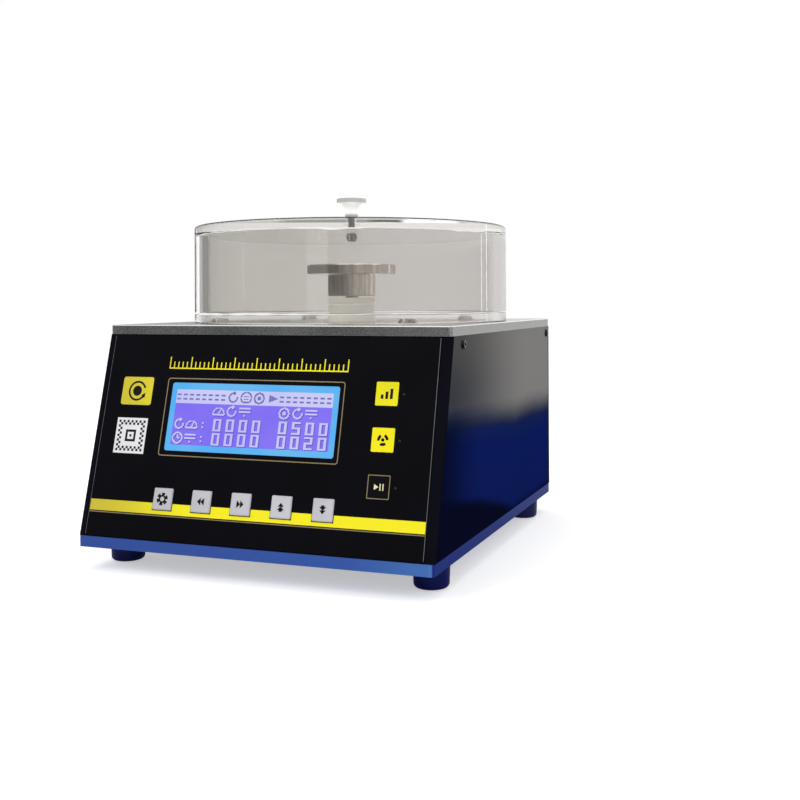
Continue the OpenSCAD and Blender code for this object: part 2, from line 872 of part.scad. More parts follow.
module deck_screws() {
    color([0.04, 0.04, 0.05])
    for (p = DECK_SCREWS)
        on_axis()
            translate(p)
                seated_screw(m6_button, deck_screw_l, 0.4);
}

// The can hangs under its plate and carries the upper bearing in its head
module motor_housing() {
    head_t = flange_t + bearing_w + 2;
    color([0.1, 0.1, 0.11])
    under_deck(can_foot)
        difference() {
            cylinder(d = motor_d, h = motor_l + flange_t);
            translate([0, 0, -eps])
                cylinder(d = motor_d - 2 * can_wall, h = motor_l + flange_t - head_t + eps);
            translate([0, 0, can_foot - upper_bearing_z - bearing_w / 2])
                cylinder(d = bearing_d + 2 * seat_gap, h = motor_l + 2 * flange_t);
            translate([0, 0, motor_l / 2])
                cylinder(d = bearing_d - 4, h = motor_l);
            for (a = [0 : 90 : 270])
                rotate(a)
                    translate([motor_screw_pcd / 2, 0, 0]) {
                        translate([0, 0, motor_l - 1])
                            cylinder(d = m4_cap[0] + 2 * screw_gap, h = flange_t + 2);
                        translate([0, 0, motor_l + flange_t - head_t - eps])
                            cylinder(d = m4_cap[1] + 2 * play, h = head_t - 3.5);
                    }
        }
}

module motor_screws() {
    color([0.2, 0.2, 0.22])
    for (a = [0 : 90 : 270])
        under_deck(can_top - 0.5 + eps)
            rotate(a)
                translate([motor_screw_pcd / 2, 0, 0])
                    mirror([0, 0, 1])
                        seated_screw(m4_cap, motor_plate_t + 1.5, 0.5);
}

// The end cap closes the can and carries the lower bearing
module motor_end_cap() {
    spigot_d = motor_d - 2 * can_wall - 2 * seat_gap;
    seat_top = can_foot - lower_bearing_z + bearing_w / 2;
    color([0.12, 0.12, 0.13])
    under_deck(cap_foot)
        difference() {
            union() {
                cylinder(d = motor_d, h = cap_t);
                cylinder(d = spigot_d, h = cap_t + 3);
            }
            translate([0, 0, -1])
                cylinder(d = spindle_d + 3, h = cap_t + 6);
            translate([0, 0, cap_foot - lower_bearing_z - bearing_w / 2])
                cylinder(d = bearing_d + 2 * seat_gap, h = seat_top + cap_t);
        }
}

stator_teeth = 9;

module motor_stator() {
    bore = rotor_d + 2 * air_gap;
    color([0.72, 0.42, 0.2])
    under_deck((can_top + can_foot + bearing_w) / 2 + stack_l / 2)
        linear_extrude(stack_l)
            difference() {
                circle(d = stator_d);
                circle(d = bore);
                for (i = [0 : stator_teeth - 1])
                    rotate(i * 360 / stator_teeth) {
                        translate([bore / 2 + 4.5, 0])
                            circle(d = 4.6, $fn = 32);
                        translate([bore / 2 + 1, 0])
                            square([4, 1.6], center = true);
                    }
            }
}

module motor_rotor() {
    color([0.35, 0.35, 0.38])
    under_deck((can_top + can_foot + bearing_w) / 2 + stack_l / 2)
        ring(rotor_d, shoulder_d + 2 * seat_gap, stack_l);
}

// Centres of the two bearings as depths below the deck
BEARINGS = [upper_bearing_z, lower_bearing_z];
ball_d = 3.6;
ball_count = 7;
race_r = (bearing_d + spindle_d) / 4;
land = 0.9;

module spindle() {
    low = deck_t + spindle_foot;
    inner = (bearing_w / 2) + seat_gap;
    color([0.8, 0.8, 0.82])
    difference() {
        union() {
            on_axis(-low)
                cylinder(d = spindle_d, h = low + spindle_top);
            under_deck(lower_bearing_z - inner)
                cylinder(d = shoulder_d, h = lower_bearing_z - upper_bearing_z - 2 * inner);
        }
        on_axis(-low - 1)
            cylinder(d = vacuum_bore_d, h = low + spindle_top + 2);
        on_axis(pin_z)
            rotate([0, 90, 0])
                cylinder(d = drive_pin_d + 2 * seat_gap, h = spindle_d + 2, center = true);
        on_axis(o_ring_z)
            rotate_extrude()
                translate([spindle_d / 2, 0])
                    square([2 * o_ring_sink, o_ring_cord + 0.2], center = true);
    }
}

o_ring_cord = 1.2;
o_ring_sink = 1.2;
o_ring_z = spindle_top - 3.2;

module drive_pin() {
    color([0.6, 0.6, 0.62])
    on_axis(pin_z)
        difference() {
            rotate([0, 90, 0])
                cylinder(d = drive_pin_d, h = spindle_d + 8, center = true);
            translate([0, 0, -drive_pin_d])
                cylinder(d = vacuum_bore_d * 0.6, h = 2 * drive_pin_d);
        }
}

module spindle_o_ring() {
    color([0.08, 0.08, 0.08])
    on_axis(o_ring_z)
        rotate_extrude()
            translate([spindle_d / 2 - o_ring_cord / 2 + running_gap / 2, 0])
                circle(d = o_ring_cord, $fn = 32);
}

// One side of a bearing's race: outer when out is 1, inner when it is -1
module race(out) {
    edge = out > 0 ? bearing_d / 2 : spindle_d / 2 + seat_gap / 2;
    near = race_r + out * ball_d * 0.28;
    rotate_extrude()
        difference() {
            polygon([
                [near, -bearing_w / 2], [edge, -bearing_w / 2],
                [edge, bearing_w / 2], [near, bearing_w / 2]
            ]);
            translate([race_r, 0])
                circle(d = ball_d + 2 * running_gap, $fn = 48);
        }
}

module bearing_outer_rings() {
    color([0.75, 0.75, 0.78])
    for (z = BEARINGS)
        under_deck(z)
            race(1);
}

module bearing_inner_rings() {
    color([0.75, 0.75, 0.78])
    for (z = BEARINGS)
        under_deck(z)
            race(-1);
}

module bearing_balls() {
    color([0.85, 0.85, 0.87])
    for (z = BEARINGS, i = [0 : ball_count - 1])
        under_deck(z)
            rotate(i * 360 / ball_count)
                translate([race_r, 0, 0])
                    sphere(d = ball_d, $fn = 32);
}

// Turned collar with a drip groove, seated in the deck's middle hole
module spindle_collar() {
    r = collar_d / 2;
    groove_z = collar_h - 3.4;
    color([0.8, 0.8, 0.8])
    on_axis()
        difference() {
            rotate_extrude()
                polygon([
                    [0, -deck_t], [collar_spigot_d / 2, -deck_t], [collar_spigot_d / 2, 0],
                    [r, 0], [r, 3.4], [r - 0.7, 4.1], [r - 0.7, groove_z - 1.2],
                    [r - 1.3, groove_z - 0.6], [r - 1.3, groove_z],
                    [r, groove_z + 0.4], [r, collar_h - 0.5], [r - 0.5, collar_h],
                    [0, collar_h]
                ]);
            translate([0, 0, -deck_t - 1])
                cylinder(d = collar_bore_d, h = deck_t + collar_h + 2);
        }
}

face_groove = [0.8, 0.6];
FACE_GROOVES = [8, 14];

// Disc and hub in one piece, bored for the spindle and slotted for its pin
module chuck() {
    r = chuck_d / 2;
    seal_r = chuck_seal_d / 2;
    color([0.85, 0.85, 0.86])
    on_axis()
        difference() {
            rotate_extrude(convexity = 6)
                difference() {
                    polygon([
                        [0, hub_z], [hub_d / 2 - 0.4, hub_z], [hub_d / 2, hub_z + 0.4],
                        [hub_d / 2, disc_z - 0.8], [hub_d / 2 - 0.5, disc_z - 0.8],
                        [hub_d / 2 - 0.5, disc_z], [r - 0.3, disc_z], [r, disc_z + 0.3],
                        [r, chuck_top - 0.6], [r - 0.6, chuck_top], [0, chuck_top]
                    ]);
                    translate([seal_r, chuck_top])
                        square([chuck_seal_cord + 2 * running_gap, 2 * seal_sink], center = true);
                    for (g = FACE_GROOVES)
                        translate([g, chuck_top])
                            square([face_groove[0], 2 * face_groove[1]], center = true);
                }
            translate([0, 0, hub_z - 1])
                cylinder(d = spindle_d + 2 * running_gap, h = spindle_top - hub_z + 1);
            translate([0, 0, hub_z])
                cylinder(d = vacuum_bore_d, h = hub_h + chuck_t + 1);
            translate([-spindle_d / 2 - 4 - play, -drive_pin_d / 2 - play, hub_z - 1])
                cube([spindle_d + 8 + 2 * play, drive_pin_d + 2 * play,
                    pin_z - hub_z + 1 + drive_pin_d / 2 + play]);
            for (a = [0, 90])
                rotate(a)
                    translate([0, 0, chuck_top])
                        cube([2 * FACE_GROOVES[1], face_groove[0], 2 * face_groove[1]], center = true);
        }
}

seal_sink = chuck_seal_cord + 0.02;

module chuck_o_ring() {
    color([0.07, 0.07, 0.07])
    on_axis(chuck_top - seal_sink + chuck_seal_cord / 2)
        rotate_extrude()
            translate([chuck_seal_d / 2, 0])
                circle(d = chuck_seal_cord, $fn = 32);
}

// ---------------------------------------------------------------- vacuum line

barb_d = 4;
barb_l = 10;
port_barb_l = 14;
union_port_z = 6;

module vacuum_union() {
    cup_d = union_d - 8;
    color([0.75, 0.68, 0.4])
    under_deck(cap_foot + union_h)
        difference() {
            union() {
                cylinder(d = union_d, h = union_h);
                translate([0, 0, union_port_z])
                    rotate([-90, 0, 0])
                        cylinder(d = barb_d, h = union_d / 2 + barb_l, $fn = 32);
            }
            translate([0, 0, 3])
                cylinder(d = vacuum_bore_d + 3, h = union_h);
            translate([0, 0, union_h - 12])
                cylinder(d = cup_d, h = 13);
            translate([0, 0, union_port_z])
                rotate([-90, 0, 0])
                    cylinder(d = barb_d - 2, h = union_d / 2 + barb_l + 1, $fn = 32);
        }
}

module union_seal() {
    cup_d = union_d - 8;
    color([0.1, 0.1, 0.1])
    under_deck(cap_foot + 7)
        ring(cup_d - 2 * seat_gap, spindle_d + 2 * running_gap, 6);
}

valve_x = 58;
valve_y = rear_y - 50;
valve_w = 22;
valve_body_h = 18;
valve_neck = [14, 4];
valve_coil_h = 22;
valve_nut = [10, 3];
valve_port_z = valve_body_h / 2;

module vacuum_valve() {
    color([0.25, 0.27, 0.3])
    translate([valve_x, valve_y, base_top]) {
        translate([-valve_w / 2, -valve_w / 2, 0])
            cube([valve_w, valve_w, valve_body_h]);
        translate([0, 0, valve_body_h - eps])
            cylinder(d = valve_neck[0], h = valve_neck[1]);
        translate([-valve_w / 2 + 1, -valve_w / 2 + 1, valve_body_h + valve_neck[1] - 1])
            cube([valve_w - 2, valve_w - 2, valve_coil_h]);
        translate([0, 0, valve_body_h + valve_neck[1] + valve_coil_h - 1 - eps])
            cylinder(d = valve_nut[0], h = valve_nut[1]);
        translate([-valve_w / 2 - barb_l, 0, valve_port_z])
            rotate([0, 90, 0])
                cylinder(d = barb_d, h = barb_l + eps, $fn = 32);
        translate([0, valve_w / 2 - eps, valve_port_z])
            rotate([-90, 0, 0])
                cylinder(d = barb_d, h = barb_l, $fn = 32);
    }
}

// Routes run from one barb's end to the other's
hose_d = 6;
union_exit = [0, axis_y + union_d / 2 + barb_l, deck_z - cap_foot - union_h + union_port_z];
valve_entry = [valve_x - valve_w / 2 - barb_l, valve_y, base_top + valve_port_z];
valve_exit = [valve_x, valve_y + valve_w / 2 + barb_l, base_top + valve_port_z];
port_inner = [port_x, rear_y - sheet_t - port_barb_l - 6, base_top + port_z];
module vacuum_hoses() {
    color([0.2, 0.35, 0.7]) {
        swept_tube([
            union_exit,
            union_exit + [0, 8, 0],
            union_exit + [6, 18, -6],
            valve_entry + [-16, -2, 6],
            valve_entry + [-8, 0, 0],
            valve_entry
        ], hose_d);
        swept_tube([
            valve_exit,
            valve_exit + [0, 4, 0.6],
            valve_exit + [10, 7, 12],
            valve_exit + [16, 0, 36],
            port_inner + [6, -14, -8],
            port_inner + [0, -8, 0],
            port_inner
        ], hose_d);
    }
}

// Bulkhead push-in port: a hexagon and a release collar outside, a nut and a barb inside
module vacuum_port() {
    hex_d = 17;
    color([0.8, 0.8, 0.82])
    on_rear(port_x, port_z)
        difference() {
            union() {
                cylinder(d = hex_d, h = 5, $fn = 6);
                cylinder(d = 14, h = port_reach - 2);
                translate([0, 0, port_reach - 2 - eps])
                    cylinder(d = 11.6, h = 2 + eps);
                translate([0, 0, -sheet_t - 6])
                    cylinder(d = port_d, h = sheet_t + 6 + eps);
                translate([0, 0, -sheet_t - 5])
                    cylinder(d = hex_d, h = 5 - seat_gap, $fn = 6);
                translate([0, 0, -sheet_t - 6 - port_barb_l])
                    cylinder(d = barb_d, h = port_barb_l + 1, $fn = 32);
            }
            translate([0, 0, port_reach - port_bore_l])
                cylinder(d = port_bore_d, h = port_bore_l + 1);
            translate([0, 0, -sheet_t - 7 - port_barb_l])
                cylinder(d = barb_d - 2, h = port_barb_l + port_reach, $fn = 32);
        }
}

// ---------------------------------------------------------------- electrical pieces

inlet_flange = [31, 58];
inlet_flange_t = 2.4;
inlet_depth = 30;
socket_v = -13;
switch_v = 6.5;
fuse_v = 19;
rocker_w = 18;
rocker_h = 11;
fuse_w = 20;
fuse_h = 7;
fuse_l = 20;

// Six-sided outline of a cold-device socket
module socket_outline(w, h, chamfer) {
    polygon([
        [-w / 2, -h / 2], [w / 2, -h / 2], [w / 2, h / 2 - chamfer],
        [w / 2 - chamfer, h / 2], [-w / 2 + chamfer, h / 2], [-w / 2, h / 2 - chamfer]
    ]);
}

// Inlet socket, rocker well and fuse well in one flanged moulding, with three pins
module power_inlet() {
    color([0.08, 0.08, 0.09])
    on_rear(inlet_x, inlet_z) {
        difference() {
            union() {
                linear_extrude(inlet_flange_t)
                    rounded_rect(inlet_flange[0], inlet_flange[1], 2);
                translate([0, 0, -inlet_depth])
                    linear_extrude(inlet_depth + eps)
                        square([inlet_cut[0] - 2 * play, inlet_cut[1] - 2 * play], center = true);
            }
            translate([0, socket_v, -16])
                linear_extrude(20)
                    socket_outline(24, 16.4, 4.5);
            translate([0, switch_v, -12])
                linear_extrude(20)
                    square([rocker_w + 2 * play, rocker_h + 2 * play], center = true);
            translate([0, switch_v, rocker_axis])
                rotate([90, 0, 0])
                    cylinder(d = trunnion_d + 2 * running_gap, h = rocker_h + 2 * trunnion_l + 1, center = true);
            translate([0, fuse_v, -fuse_l - play])
                linear_extrude(fuse_l + 10)
                    square([fuse_w + 2 * play, fuse_h + 2 * play], center = true);
        }
        for (p = [[-7, -2], [7, -2], [0, 2]])
            translate([p[0], socket_v + p[1], -16 - eps])
                translate([-1, -2, 0])
                    cube([2, 4, 13]);
        for (p = [[-6, -13], [6, -13], [0, -13], [-6, 9], [6, 9]])
            translate([p[0], p[1], -inlet_depth - 6])
                translate([-0.4, -2.4, 0])
                    cube([0.8, 4.8, 6 + eps]);
    }
}

rocker_axis = -2.4;
rocker_swing = 20;
trunnion_d = 2.4;
trunnion_l = 1.2;

// The rocker rests with one half pressed in and turns on two short trunnions
module power_rocker() {
    saddle = 4.2;
    crest = 6;
    keel = -5.6;
    color([0.1, 0.1, 0.1])
    on_rear(inlet_x, inlet_z)
        translate([0, switch_v, rocker_axis])
            rotate([0, rocker_swing / 2, 0])
                rotate([-90, 0, 0]) {
                    translate([0, 0, -rocker_h / 2])
                        linear_extrude(rocker_h)
                            intersection() {
                                circle(d = rocker_w - 0.2);
                                polygon([
                                    [-rocker_w / 2, -keel], [-rocker_w / 2, -crest],
                                    [0, -saddle], [rocker_w / 2, -crest], [rocker_w / 2, -keel]
                                ]);
                            }
                    cylinder(d = trunnion_d, h = rocker_h + 2 * trunnion_l, center = true);
                }
}

module fuse_drawer() {
    color([0.12, 0.12, 0.13])
    on_rear(inlet_x, inlet_z)
        translate([0, fuse_v, 0]) {
            difference() {
                translate([0, 0, -fuse_l])
                    linear_extrude(fuse_l + inlet_flange_t + 1)
                        square([fuse_w, fuse_h], center = true);
                translate([-7, -2, -fuse_l + 3])
                    cube([14, fuse_h, fuse_l - 6]);
                translate([-3.5, fuse_h / 2 - 1.2, inlet_flange_t - 0.6])
                    cube([7, 2, 3]);
            }
            translate([-6, -0.9, -fuse_l / 2])
                rotate([0, 90, 0])
                    cylinder(d = 2, h = 12, $fn = 32);
        }
}

module pump_outlet() {
    flange = [50, 28];
    color([0.08, 0.08, 0.09])
    on_rear(outlet_x, outlet_z)
        difference() {
            union() {
                linear_extrude(inlet_flange_t)
                    rounded_rect(flange[0], flange[1], 3);
                translate([0, 0, -22])
                    linear_extrude(22 + eps)
                        square([outlet_cut[0] - 2 * play, outlet_cut[1] - 2 * play], center = true);
            }
            translate([0, 0, -15])
                linear_extrude(30)
                    difference() {
                        socket_outline(25.4, 18.4, 5);
                        socket_outline(21.4, 14.4, 4);
                    }
            for (p = [[-7, -2], [7, -2], [0, 2]])
                translate([p[0], p[1], -14])
                    translate([-1.3, -2.6, 0])
                        cube([2.6, 5.2, 30]);
            for (s = [-1, 1])
                translate([s * 20, 0, -1])
                    cylinder(d = 3.3, h = 5);
        }
}

supply_side_gap = 0.5;
supply_union_gap = 2.5;
supply = [inner_x - flange_w - supply_side_gap - supply_union_gap - union_d / 2, 86, 30];
supply_x = inner_x - flange_w - supply[0] / 2 - supply_side_gap;
supply_y = axis_y - supply[1] / 2 + 12;
supply_sheet = 1.5;
terminal_bay = 12;

// Power supply: a folded tray with its terminal bay, a slotted cover and the parts inside
module power_supply() {
    cover_l = supply[1] - terminal_bay;
    color([0.75, 0.75, 0.76])
    translate([-supply_x - supply[0] / 2, supply_y - supply[1] / 2, base_top]) {
        difference() {
            cube(supply);
            translate([supply_sheet, supply_sheet, supply_sheet])
                cube([supply[0] - 2 * supply_sheet, cover_l - supply_sheet, supply[2] - 2 * supply_sheet]);
            translate([supply_sheet, cover_l + supply_sheet, terminal_z])
                cube([supply[0] - 2 * supply_sheet, terminal_bay, supply[2]]);
            for (i = [0 : 6], j = [0 : 1])
                translate([6.5 + i * 10, 6 + j * 34, supply[2] - 3])
                    cube([3, 28, 6]);
        }
        translate([8, cover_l + supply_sheet - eps, terminal_z - eps])
            cube([supply[0] - 16, terminal_bay - 2 * supply_sheet, 11]);
        for (p = [[20, 30, 14], [48, 24, 11], [54, 56, 16]])
            translate([p[0], p[1], supply_sheet - eps])
                cylinder(d = p[2], h = 22, $fn = 32);
    }
}

terminal_z = 12;

board_side_gap = 2;
board_union_gap = 3;
board = [inner_x - flange_w - board_side_gap - board_union_gap - union_d / 2, 70];
board_x = inner_x - flange_w - board[0] / 2 - board_side_gap;
board_y = axis_y - 20;
standoff_h = 8;
STANDOFFS = [
    for (x = [-1, 1], y = [-1, 1]) [board_x + x * (board[0] / 2 - 4), board_y + y * (board[1] / 2 - 4)]
];

// Motor driver and logic board with its heat sink, capacitors, chips and connectors
module control_board() {
    color([0.05, 0.35, 0.15])
    translate([board_x, board_y, base_top + standoff_h]) {
        difference() {
            translate([-board[0] / 2, -board[1] / 2, 0])
                cube([board[0], board[1], board_t]);
            for (x = [-1, 1], y = [-1, 1])
                translate([x * (board[0] / 2 - 4), y * (board[1] / 2 - 4), -1])
                    cylinder(d = board_post_bore, h = board_t + 2, $fn = 32);
        }
        translate([4, -22, board_t - eps])
            for (i = [0 : 5])
                translate([i * 4.6, 0, 0])
                    cube([1.2, 14, 14]);
        translate([4, -22, board_t - eps])
            cube([24.2, 14, 3]);
        for (p = [[16, 20], [26, 20]])
            translate([p[0], p[1], board_t - eps])
                cylinder(d = 8, h = 13, $fn = 32);
        translate([-20, 2, board_t - eps])
            cube([14, 14, 1.6]);
        for (p = [[-board[0] / 2, -6], [-6, board[1] / 2 - 9], [-6, -board[1] / 2]])
            translate([p[0], p[1], board_t - eps])
                cube([p[1] == -6 ? 9 : 12, p[1] == -6 ? 12 : 9, 9]);
    }
}

module board_standoffs() {
    color([0.8, 0.7, 0.35]) {
        for (p = STANDOFFS)
            translate([p[0], p[1], base_top])
                ring(6, board_post_bore, standoff_h);
        for (p = BOARD_POSTS)
            on_panel(p[0], p[1], -board_gap)
                ring(6, board_post_bore, board_gap - face_t);
    }
}

module board_screws() {
    color([0.8, 0.8, 0.82]) {
        for (p = STANDOFFS)
            translate([p[0], p[1], base_top + standoff_h + board_t])
                seated_screw(m3_pan, 8);
        for (p = BOARD_POSTS)
            on_panel(p[0], p[1], -board_gap - board_t)
                mirror([0, 0, 1])
                    seated_screw(m3_pan, 8);
    }
}

// Leads from socket to supply, supply to board, motor to board and keyboard to board
plug_z = base_top + standoff_h + board_t + 4.5;
end_gap = 0.3;
supply_end = supply_y + supply[1] / 2 - supply_sheet + end_gap;
inlet_tail = [inlet_x, rear_y - inlet_depth - 6 - end_gap, base_top + inlet_z - 13];
mains_end = [-supply_x - 18, supply_end, base_top + terminal_z + 5.5];
low_volt_end = [-supply_x + 20, supply_end, base_top + terminal_z + 5.5];
board_west = [board_x - board[0] / 2 - end_gap, board_y, plug_z];
board_north = [board_x, board_y + board[1] / 2 + end_gap, plug_z];
board_south = [board_x, board_y - board[1] / 2 - end_gap, plug_z];
motor_exit = [motor_d / 2 + end_gap, axis_y, deck_z - can_foot + 8];
keyboard_v = board_foot + 18;
keyboard_in = [0, cos(panel_tilt), -sin(panel_tilt)];
keyboard_exit = [board_x, panel_y + keyboard_v * sin(panel_tilt), base_top + keyboard_v * cos(panel_tilt)]
    + (board_gap + board_t + end_gap) * keyboard_in;

module wiring_harness() {
    color([0.5, 0.1, 0.1]) {
        swept_tube([
            inlet_tail,
            inlet_tail + [0, -4, 0],
            inlet_tail + [-4, -22, -6],
            mains_end + [0, 16, 2],
            mains_end + [0, 4, 0],
            mains_end
        ], lead_d, 3);
        swept_tube([
            low_volt_end,
            low_volt_end + [0, 4, 0],
            low_volt_end + [12, 12, -4],
            [4, board_y + 14, plug_z - 4],
            board_west + [-4, 0, 0],
            board_west
        ], lead_d, 3);
        swept_tube([
            motor_exit,
            motor_exit + [4, 0, 0],
            motor_exit + [16, 8, -18],
            board_north + [0, 12, 12],
            board_north + [0, 4, 0],
            board_north
        ], lead_d, 3);
        swept_tube([
            board_south,
            board_south + [0, -4, 0],
            board_south + [-2, -16, 4],
            keyboard_exit + 14 * keyboard_in,
            keyboard_exit + 4 * keyboard_in,
            keyboard_exit
        ], lead_d, 3);
    }
}

// ---------------------------------------------------------------- lid

lid_foot = 0;
wall_z = lid_foot + seal_h;
lid_top_z = wall_z + lid_wall_h;
lid_face = lid_top_z + lid_top_t;
knob_bore_d = m4_pan[0] + 2 * screw_gap;

module lid_seal() {
    color([0.85, 0.87, 0.86, 0.6])
    on_axis(lid_foot)
        ring(lid_d, lid_d - 2 * lid_wall_t, seal_h);
}

module lid_wall() {
    color([0.85, 0.87, 0.86, 0.4])
    on_axis(wall_z)
        ring(lid_d, lid_d - 2 * lid_wall_t, lid_wall_h);
}

module lid_top() {
    r = lid_d / 2;
    color([0.85, 0.87, 0.86, 0.4])
    on_axis(lid_top_z)
        difference() {
            rotate_extrude()
                union() {
                    square([r - lid_rim_r, lid_top_t]);
                    square([r, lid_top_t - lid_rim_r]);
                    translate([r - lid_rim_r, lid_top_t - lid_rim_r])
                        circle(lid_rim_r, $fn = 48);
                }
            translate([0, 0, -1])
                cylinder(d = knob_bore_d, h = lid_top_t + 2);
        }
}

// Mushroom knob: neck, concave flare, band and shallow crown
module lid_knob() {
    r = knob_d / 2;
    neck = knob_neck_d / 2;
    band_z = knob_h - knob_crown_h - knob_band_h;
    flare_z = band_z - knob_flare_h;
    flare_w = r - neck;
    steps = 10;
    color([0.85, 0.85, 0.86])
    on_axis(lid_face)
        difference() {
            rotate_extrude()
                polygon(concat(
                    [[0, 0], [neck - 0.3, 0], [neck, 0.3]],
                    [for (i = [0 : steps])
                        let (a = 90 * i / steps)
                        [neck + flare_w * (1 - cos(a)), flare_z + knob_flare_h * sin(a)]],
                    [[r, band_z + knob_band_h - 0.4], [r - 0.4, band_z + knob_band_h]],
                    [for (i = [1 : steps])
                        let (f = i / steps)
                        [(r - 0.4) * (1 - f), band_z + knob_band_h + knob_crown_h * (1 - pow(1 - f, 2))]]
                ));
            translate([0, 0, -1])
                cylinder(d = knob_bore_d, h = knob_screw_l - lid_top_t + 1.5);
        }
}

knob_screw_l = 14;

module knob_screw() {
    color([0.8, 0.8, 0.82])
    on_axis(lid_top_z)
        mirror([0, 0, 1])
            seated_screw(m4_pan, knob_screw_l);
}

// ---------------------------------------------------------------- nodes

base_plate();
deck_plate();
corner_posts();
left_side_panel();
right_side_panel();
front_panel();
rear_panel();
rubber_feet();
foot_screws();
plate_screws();
panel_screws();
panel_overlay();
display_window();
display_module();
display_board();
key_switches();
key_set();
key_left();
key_right();
key_up();
key_down();
key_mode();
key_pump();
key_start();
status_leds();
motor_plate();
deck_screws();
motor_housing();
motor_end_cap();
motor_stator();
motor_rotor();
motor_screws();
spindle();
bearing_outer_rings();
bearing_inner_rings();
bearing_balls();
spindle_collar();
drive_pin();
spindle_o_ring();
chuck();
chuck_o_ring();
vacuum_union();
union_seal();
vacuum_valve();
vacuum_hoses();
vacuum_port();
power_inlet();
power_rocker();
fuse_drawer();
pump_outlet();
power_supply();
control_board();
board_standoffs();
board_screws();
wiring_harness();
lid_seal();
lid_wall();
lid_top();
lid_knob();
knob_screw();
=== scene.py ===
"""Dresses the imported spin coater: its finishes, printed marks, lit display and clear lid."""
from __future__ import annotations

import json
import logging
import math
from dataclasses import dataclass, field
from enum import Enum, member
from typing import Callable, Sequence, Union

import bpy
import numpy as np
from mathutils import Matrix, Vector


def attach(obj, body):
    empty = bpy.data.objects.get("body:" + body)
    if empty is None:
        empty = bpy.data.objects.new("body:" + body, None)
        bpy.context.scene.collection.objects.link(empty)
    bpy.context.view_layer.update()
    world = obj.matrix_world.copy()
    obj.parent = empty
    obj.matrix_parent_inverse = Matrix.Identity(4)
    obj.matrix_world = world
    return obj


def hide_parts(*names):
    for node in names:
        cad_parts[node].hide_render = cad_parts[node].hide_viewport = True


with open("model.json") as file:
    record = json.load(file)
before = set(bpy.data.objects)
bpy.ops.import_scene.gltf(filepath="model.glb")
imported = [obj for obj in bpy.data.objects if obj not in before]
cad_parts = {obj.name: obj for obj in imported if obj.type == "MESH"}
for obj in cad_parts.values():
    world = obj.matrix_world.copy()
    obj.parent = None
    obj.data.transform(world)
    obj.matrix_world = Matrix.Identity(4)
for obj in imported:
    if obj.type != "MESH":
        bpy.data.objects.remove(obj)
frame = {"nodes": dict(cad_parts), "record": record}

LOG = logging.getLogger("spin_coater")
MM = 0.001
# The y of the vertical axis of the spindle, the chuck and the lid, in millimetres; its x is 0.
AXIS_Y = 9.55
# The level direction, in x and y, along which clear walls are painted lighter, a painted light.
SIDE_ON = (0.94, 0.342)
# Behind this y, in metres, the slanting border of a painted reflection runs level.
LEVEL_FROM = 0.02
# The share of its light that the deck's cut edge keeps, as painted shade, and the colour of a painted highlight
# on a bevel.
CUT_SHADE = 0.42
BEVEL_LIGHT = (0.98, 0.98, 0.98)
# The colour of the painted shade on a sheet ahead and below.
FRONT_SHADE = 0x080C24
# The strength at which the floor shows by its own light.
FLOOR_GLOW = 0.46
# The row of keys on the panel: the middle of each, their height up the panel and their side.
KEY_ROW_U = (-54.0, -29.9, -5.8, 18.3, 42.4)
KEY_ROW_V = 22.7
KEY_ROW_W = 11.8

Pair = tuple[float, float]
Triple = tuple[float, float, float]
Box = tuple[float, float, float, float]
Colour = Triple
Grid = np.ndarray
Paint = bpy.types.Material
Thing = bpy.types.Object
Number = Union[float, int, "Value"]


def srgb(code: int) -> Colour:
    """Turns a screen colour into linear light.

    Args:
        code: the colour as 0xRRGGBB.

    Returns:
        The linear colour, from c / 12.92 below 0.04045 and ((c + 0.055) / 1.055) ** 2.4 above it.
    """
    levels = np.array([code >> 16, code >> 8 & 255, code & 255]) / 255.0
    light = np.where(levels <= 0.04045, levels / 12.92, ((levels + 0.055) / 1.055) ** 2.4)
    return tuple(float(c) for c in light)


def dim(colour: Colour, share: float) -> Colour:
    """The colour at a share of its light."""
    return tuple(c * share for c in colour)



# --- shader maths


def operator(kind: str, swapped: bool = False) -> Callable[[Value, Number], Value]:
    """Makes a method of Value that adds one Math node on it and another value.

    Args:
        kind: the node's operation.
        swapped: whether the other value comes first.

    Returns:
        The method.
    """

    def apply(self: Value, other: Number) -> Value:
        """Adds the node."""
        first, second = (other, self) if swapped else (self, other)
        return self.graph.maths(kind, first, second)

    return apply


class Value:
    """A socket that takes part in Python arithmetic; every operator adds one Math node."""

    __add__ = __radd__ = operator("ADD")
    __sub__, __rsub__ = operator("SUBTRACT"), operator("SUBTRACT", swapped=True)
    __mul__ = __rmul__ = operator("MULTIPLY")
    __truediv__ = operator("DIVIDE")
    __pow__ = operator("POWER")
    most = operator("MAXIMUM")
    least = operator("MINIMUM")

    def __init__(self, graph: Graph, socket: bpy.types.NodeSocket) -> None:
        """Wraps a socket of a graph."""
        self.graph = graph
        self.socket = socket

    def ramp(self, low: float, high: float) -> Value:
        """Runs smoothly from 0 at low to 1 at high, and may run downwards.

        Args:
            low, high: the values that give 0 and 1.

        Returns:
            3t^2 - 2t^3 with t = (self - low) / (high - low) held to 0..1.
        """
        node = self.graph.node("ShaderNodeMapRange", {"interpolation_type": "SMOOTHSTEP"}, {
            "Value": self, "From Min": low, "From Max": high, "To Min": 0.0, "To Max": 1.0,
        })
        return Value(self.graph, node.outputs["Result"])


